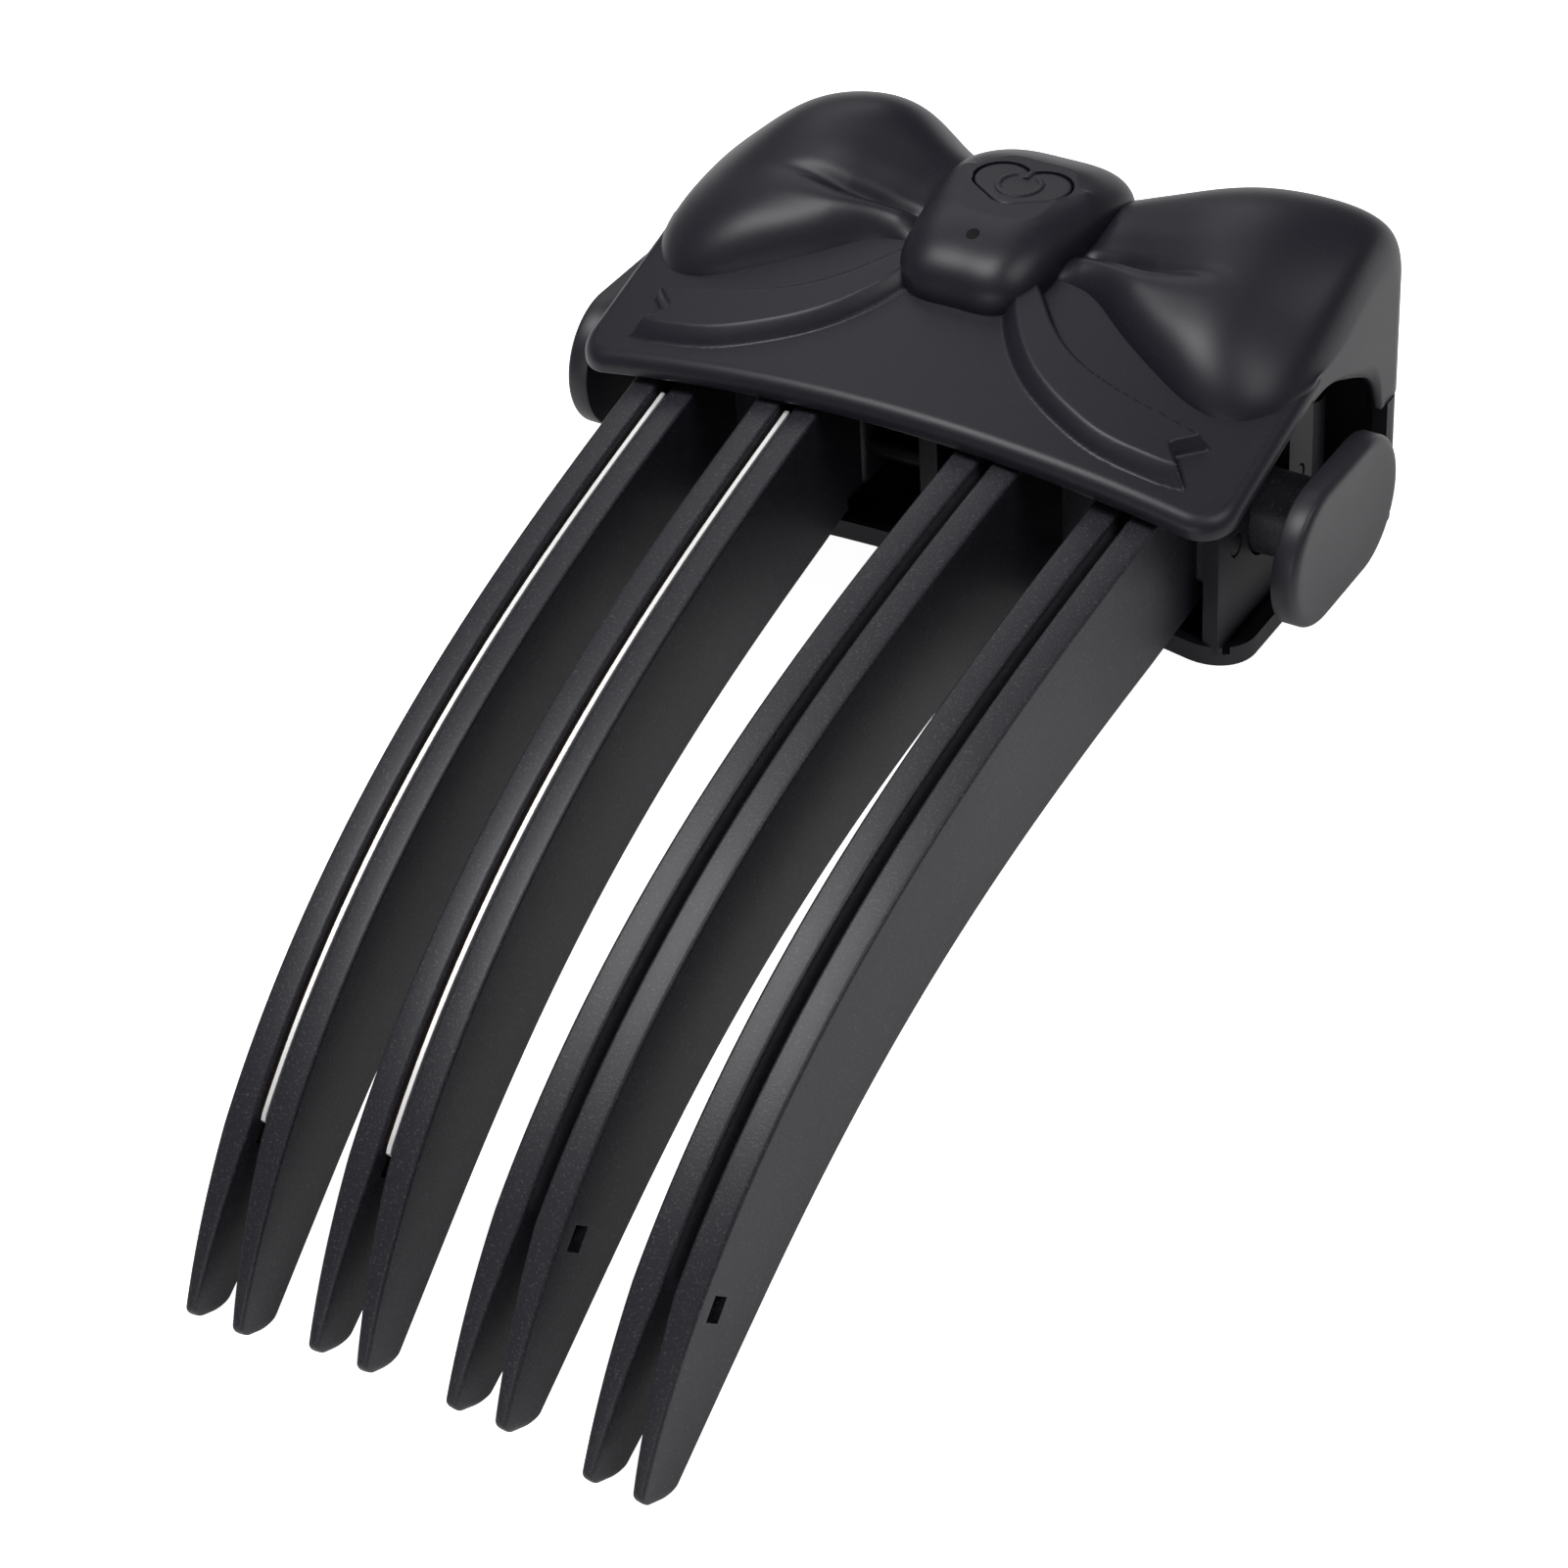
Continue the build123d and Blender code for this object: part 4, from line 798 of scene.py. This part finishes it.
def cut_window(piece, index):
    """Square window through a heated blade, near its tip. The cutter is a block turned to the
    blade's heading, then in plan."""
    rise, turn, _ = pair_spec(index)
    (y0,), (z0,), (heading,) = blade_line(np.array([WINDOW_AT]))
    y, z = y0 + WINDOW_DROP * np.sin(heading), z0 - WINDOW_DROP * np.cos(heading)
    signs = [(sx, sy, sz) for sx in (-1, 1) for sy in (-1, 1) for sz in (-1, 1)]
    across, along, up = (np.array(signs) * WINDOW_HALF).T
    y = y + along * cos(heading) + up * -sin(heading)
    z = z + rise + along * sin(heading) + up * cos(heading)
    a = radians(turn)
    block = np.stack([across * cos(a) - y * sin(a) + blade_x(index, True),
                      across * sin(a) + y * cos(a), z], -1)
    mesh = bpy.data.meshes.new("window_cutter")
    mesh.from_pydata(seat(block).tolist(), [], BLOCK_FACES)
    cutter = bpy.data.objects.new("window_cutter", mesh)
    bpy.context.scene.collection.objects.link(cutter)
    tidy(cutter)
    cut = piece.modifiers.new("window", "BOOLEAN")
    cut.object = cutter
    cut.operation = "DIFFERENCE"
    cut.solver = "EXACT"
    evaluated = piece.evaluated_get(bpy.context.evaluated_depsgraph_get())
    result = bpy.data.meshes.new_from_object(evaluated)
    piece.modifiers.clear()
    old = piece.data
    result.name = old.name + "_cut"
    piece.data = result
    bpy.data.objects.remove(cutter)
    bpy.data.meshes.remove(mesh)
    bpy.data.meshes.remove(old)


def fixed_comb(first, name):
    """Two heated blades and the bridge that carries them."""
    shell = Shell()
    for index in (first, first + 1):
        shell.tube(blade_surface(index, True, FIXED_ROOT))
    low, high = sorted(blade_x(index, True) for index in (first, first + 1))
    shell.tube(soft_block(low - BLADE_T / 2, high + BLADE_T / 2, *BRIDGE))
    comb = shell.piece(name + "_blades", "housing", "blade_plastic", name)
    for index in (first, first + 1):
        cut_window(comb, index)
    return comb


def heater_plate(index, name, drop, near, far):
    """Thin sheet beside a heated blade's inner face, from drop under its top edge to a little
    above its foot and from near to far off the face. Its long edges and end corners are eased."""
    side = pair_spec(index)[2]
    s = np.concatenate([[SHEET_START], np.linspace(0, SHEET_END - 0.8, 60),
                        [SHEET_END - 0.2, SHEET_END]])
    foot = blade_depth(s) - SHEET_FOOT
    pull = np.concatenate([np.zeros(61), [0.15, 0.8]])
    steps = ((near, 0.05), (near + 0.05, 0.0), (far - 0.05, 0.0), (far, 0.06))
    rows = [(out, drop + inset + pull) for out, inset in steps]
    rows += [(out, foot - inset - pull) for out, inset in steps[::-1]]
    w = np.stack([np.full(len(s), -side * (BLADE_T / 2 + out)) for out, _ in rows], 1)
    d = np.stack([depth for _, depth in rows], 1)
    shell = Shell()
    shell.tube(on_blade(index, True, blade_line(s), w, d))
    return shell.piece(name + "_sheet", "housing", "heater_metal", name)


def slider(side, name, body):
    """Two moving blades on a bar, with the stem that carries the knob."""
    first = 0 if side < 0 else 2
    shell = Shell()
    for index in (first, first + 1):
        shell.tube(blade_surface(index, False, MOVING_ROOT, SHELF))
    x0, x1 = sorted((side * BAR_INNER, side * BAR_OUTER))
    shell.tube(soft_block(x0, x1, BAR_FRONT, BAR_BACK, BAR_BOTTOM, BAR_TOP, radius=0.8))
    shell.tube(lathe_x(STEM, side))
    return shell.piece(name + "_blades", body, "blade_plastic", name)


def knob(side, name, body):
    """Stadium outline carried from the back face, round its edges, over a slightly dished face.
    A row is x and the end radius; the straight part shrinks with the radius, to a fifth."""
    turn = np.linspace(0, 2 * pi, 120, endpoint=False)
    dy, dz = np.cos(turn), np.sin(turn)
    straight = np.where(dy > 0, KNOB_HALF_STRAIGHT, -KNOB_HALF_STRAIGHT)
    back = KNOB_FACE - KNOB_T
    rows = [(back, 4.0), (back, KNOB_R - 0.25), (back + 0.08, KNOB_R - 0.08), (back + 0.3, KNOB_R)]
    for a in np.linspace(0, pi / 2, 8):
        rows.append((KNOB_FACE - KNOB_EDGE + KNOB_EDGE * sin(a),
                     KNOB_R - KNOB_EDGE * (1 - cos(a))))
    rows += [(KNOB_FACE - 0.02, KNOB_R - 1.3), (KNOB_FACE - 0.1, KNOB_R - 2.6),
             (KNOB_FACE - 0.16, 3.0), (KNOB_FACE - 0.17, 0.6)]
    x, r = np.array(rows).T[:, :, None]
    share = r / KNOB_R
    y = AXIS_Y + straight * (0.2 + 0.8 * share) + dy * r
    shell = Shell()
    shell.tube(np.stack([np.broadcast_to(side * x, y.shape), y, AXIS_Z + dz * r], -1))
    return shell.piece(name + "_cap", body, "knob_plastic", name)


bow_loops()
ledge_plate()
knot()
rear_wall()
pinhole()
power_button()
power_sign()
fixed_comb(0, "fixed_comb_left")
fixed_comb(2, "fixed_comb_right")
heater_plate(0, "heater_plate_outer_left", *LEFT_SHEET)
heater_plate(1, "heater_plate_inner_left", *LEFT_SHEET)
heater_plate(2, "heater_plate_inner_right", *RIGHT_SHEET)
heater_plate(3, "heater_plate_outer_right", *RIGHT_SHEET)
slider(-1, "slider_left", "left_slider")
slider(1, "slider_right", "right_slider")
knob(-1, "knob_left", "left_slider")
knob(1, "knob_right", "right_slider")


# Stage, light and camera

FLOOR_HALF, FLOOR_GLOW, CAMERA_GLOW = 3, 0.15, 0.8
SENSOR, FOCAL_PIXELS = 36.0, 4351.5


def pale_floor():
    """White ground. It glows a little, and more to the camera than onto the clip."""
    mesh = bpy.data.meshes.new("floor")
    h = FLOOR_HALF
    mesh.from_pydata([(-h, -h, 0), (h, -h, 0), (h, h, 0), (-h, h, 0)], [], [(0, 1, 2, 3)])
    floor = bpy.data.objects.new("floor", mesh)
    bpy.context.scene.collection.objects.link(floor)
    material = bpy.data.materials.new("floor_paper")
    material.use_nodes = True
    shader = material.node_tree.nodes["Principled BSDF"]
    shader.inputs["Base Color"].default_value = (0.9, 0.9, 0.9, 1)
    shader.inputs["Roughness"].default_value = 0.9
    shader.inputs["Specular IOR Level"].default_value = 0.1
    shader.inputs["Emission Color"].default_value = (1, 1, 1, 1)
    tree = material.node_tree
    path, glow = tree.nodes.new("ShaderNodeLightPath"), tree.nodes.new("ShaderNodeMath")
    glow.operation = "MULTIPLY_ADD"
    glow.inputs[1].default_value = CAMERA_GLOW
    glow.inputs[2].default_value = FLOOR_GLOW
    link(tree, path.outputs["Is Camera Ray"], glow.inputs[0])
    link(tree, glow.outputs["Value"], shader.inputs["Emission Strength"])
    mesh.materials.append(material)


def softbox(name, place, aim, width, height, power):
    """Rectangular area light at place, turned to face aim. Metres and watts."""
    data = bpy.data.lights.new(name, "AREA")
    data.shape = "RECTANGLE"
    data.size, data.size_y, data.energy = width, height, power
    box = bpy.data.objects.new(name, data)
    box.location = place
    box.rotation_euler = (Vector(aim) - Vector(place)).to_track_quat("-Z", "Y").to_euler()
    bpy.context.scene.collection.objects.link(box)


def studio():
    """Dim white world and four softboxes."""
    world = bpy.data.worlds.new("studio")
    bpy.context.scene.world = world
    world.use_nodes = True
    background = world.node_tree.nodes["Background"]
    background.inputs["Color"].default_value = (1, 1, 1, 1)
    background.inputs["Strength"].default_value = 0.13
    middle = (0, 0.01, 0.03)
    softbox("overhead", (-0.24, -0.02, 0.8), middle, 0.34, 0.34, 4.4)
    softbox("overhead_right", (0.5, 0.1, 0.75), middle, 0.4, 0.4, 2.0)
    softbox("back_left", (-0.45, 0.7, 0.55), middle, 0.5, 0.5, 1.0)
    softbox("front_fill", (0.1, -0.9, 0.35), middle, 0.7, 0.3, 1.4)
    bpy.context.scene.view_settings.view_transform = "Standard"


def photo_camera():
    """Camera at the photograph's place: its position and axes are given in the body frame."""
    right, up, back = (seat_turn(axis) for axis in (
        (0.855049, 0.51627, -0.048541),
        (-0.280065, 0.538563, 0.794678),
        (0.43641, -0.665894, 0.605087)))
    data = bpy.data.cameras.new("photo_camera")
    data.sensor_width = SENSOR
    data.lens = FOCAL_PIXELS * SENSOR / PHOTO_SIDE
    data.clip_start, data.clip_end = 0.01, 20
    camera = bpy.data.objects.new("photo_camera", data)
    place = seat((179.1915, -291.2166, 223.3882))
    camera.matrix_world = Matrix([*zip(right, up, back, place), (0, 0, 0, 1)])
    bpy.context.scene.collection.objects.link(camera)
    bpy.context.scene.camera = camera


pale_floor()
studio()
photo_camera()
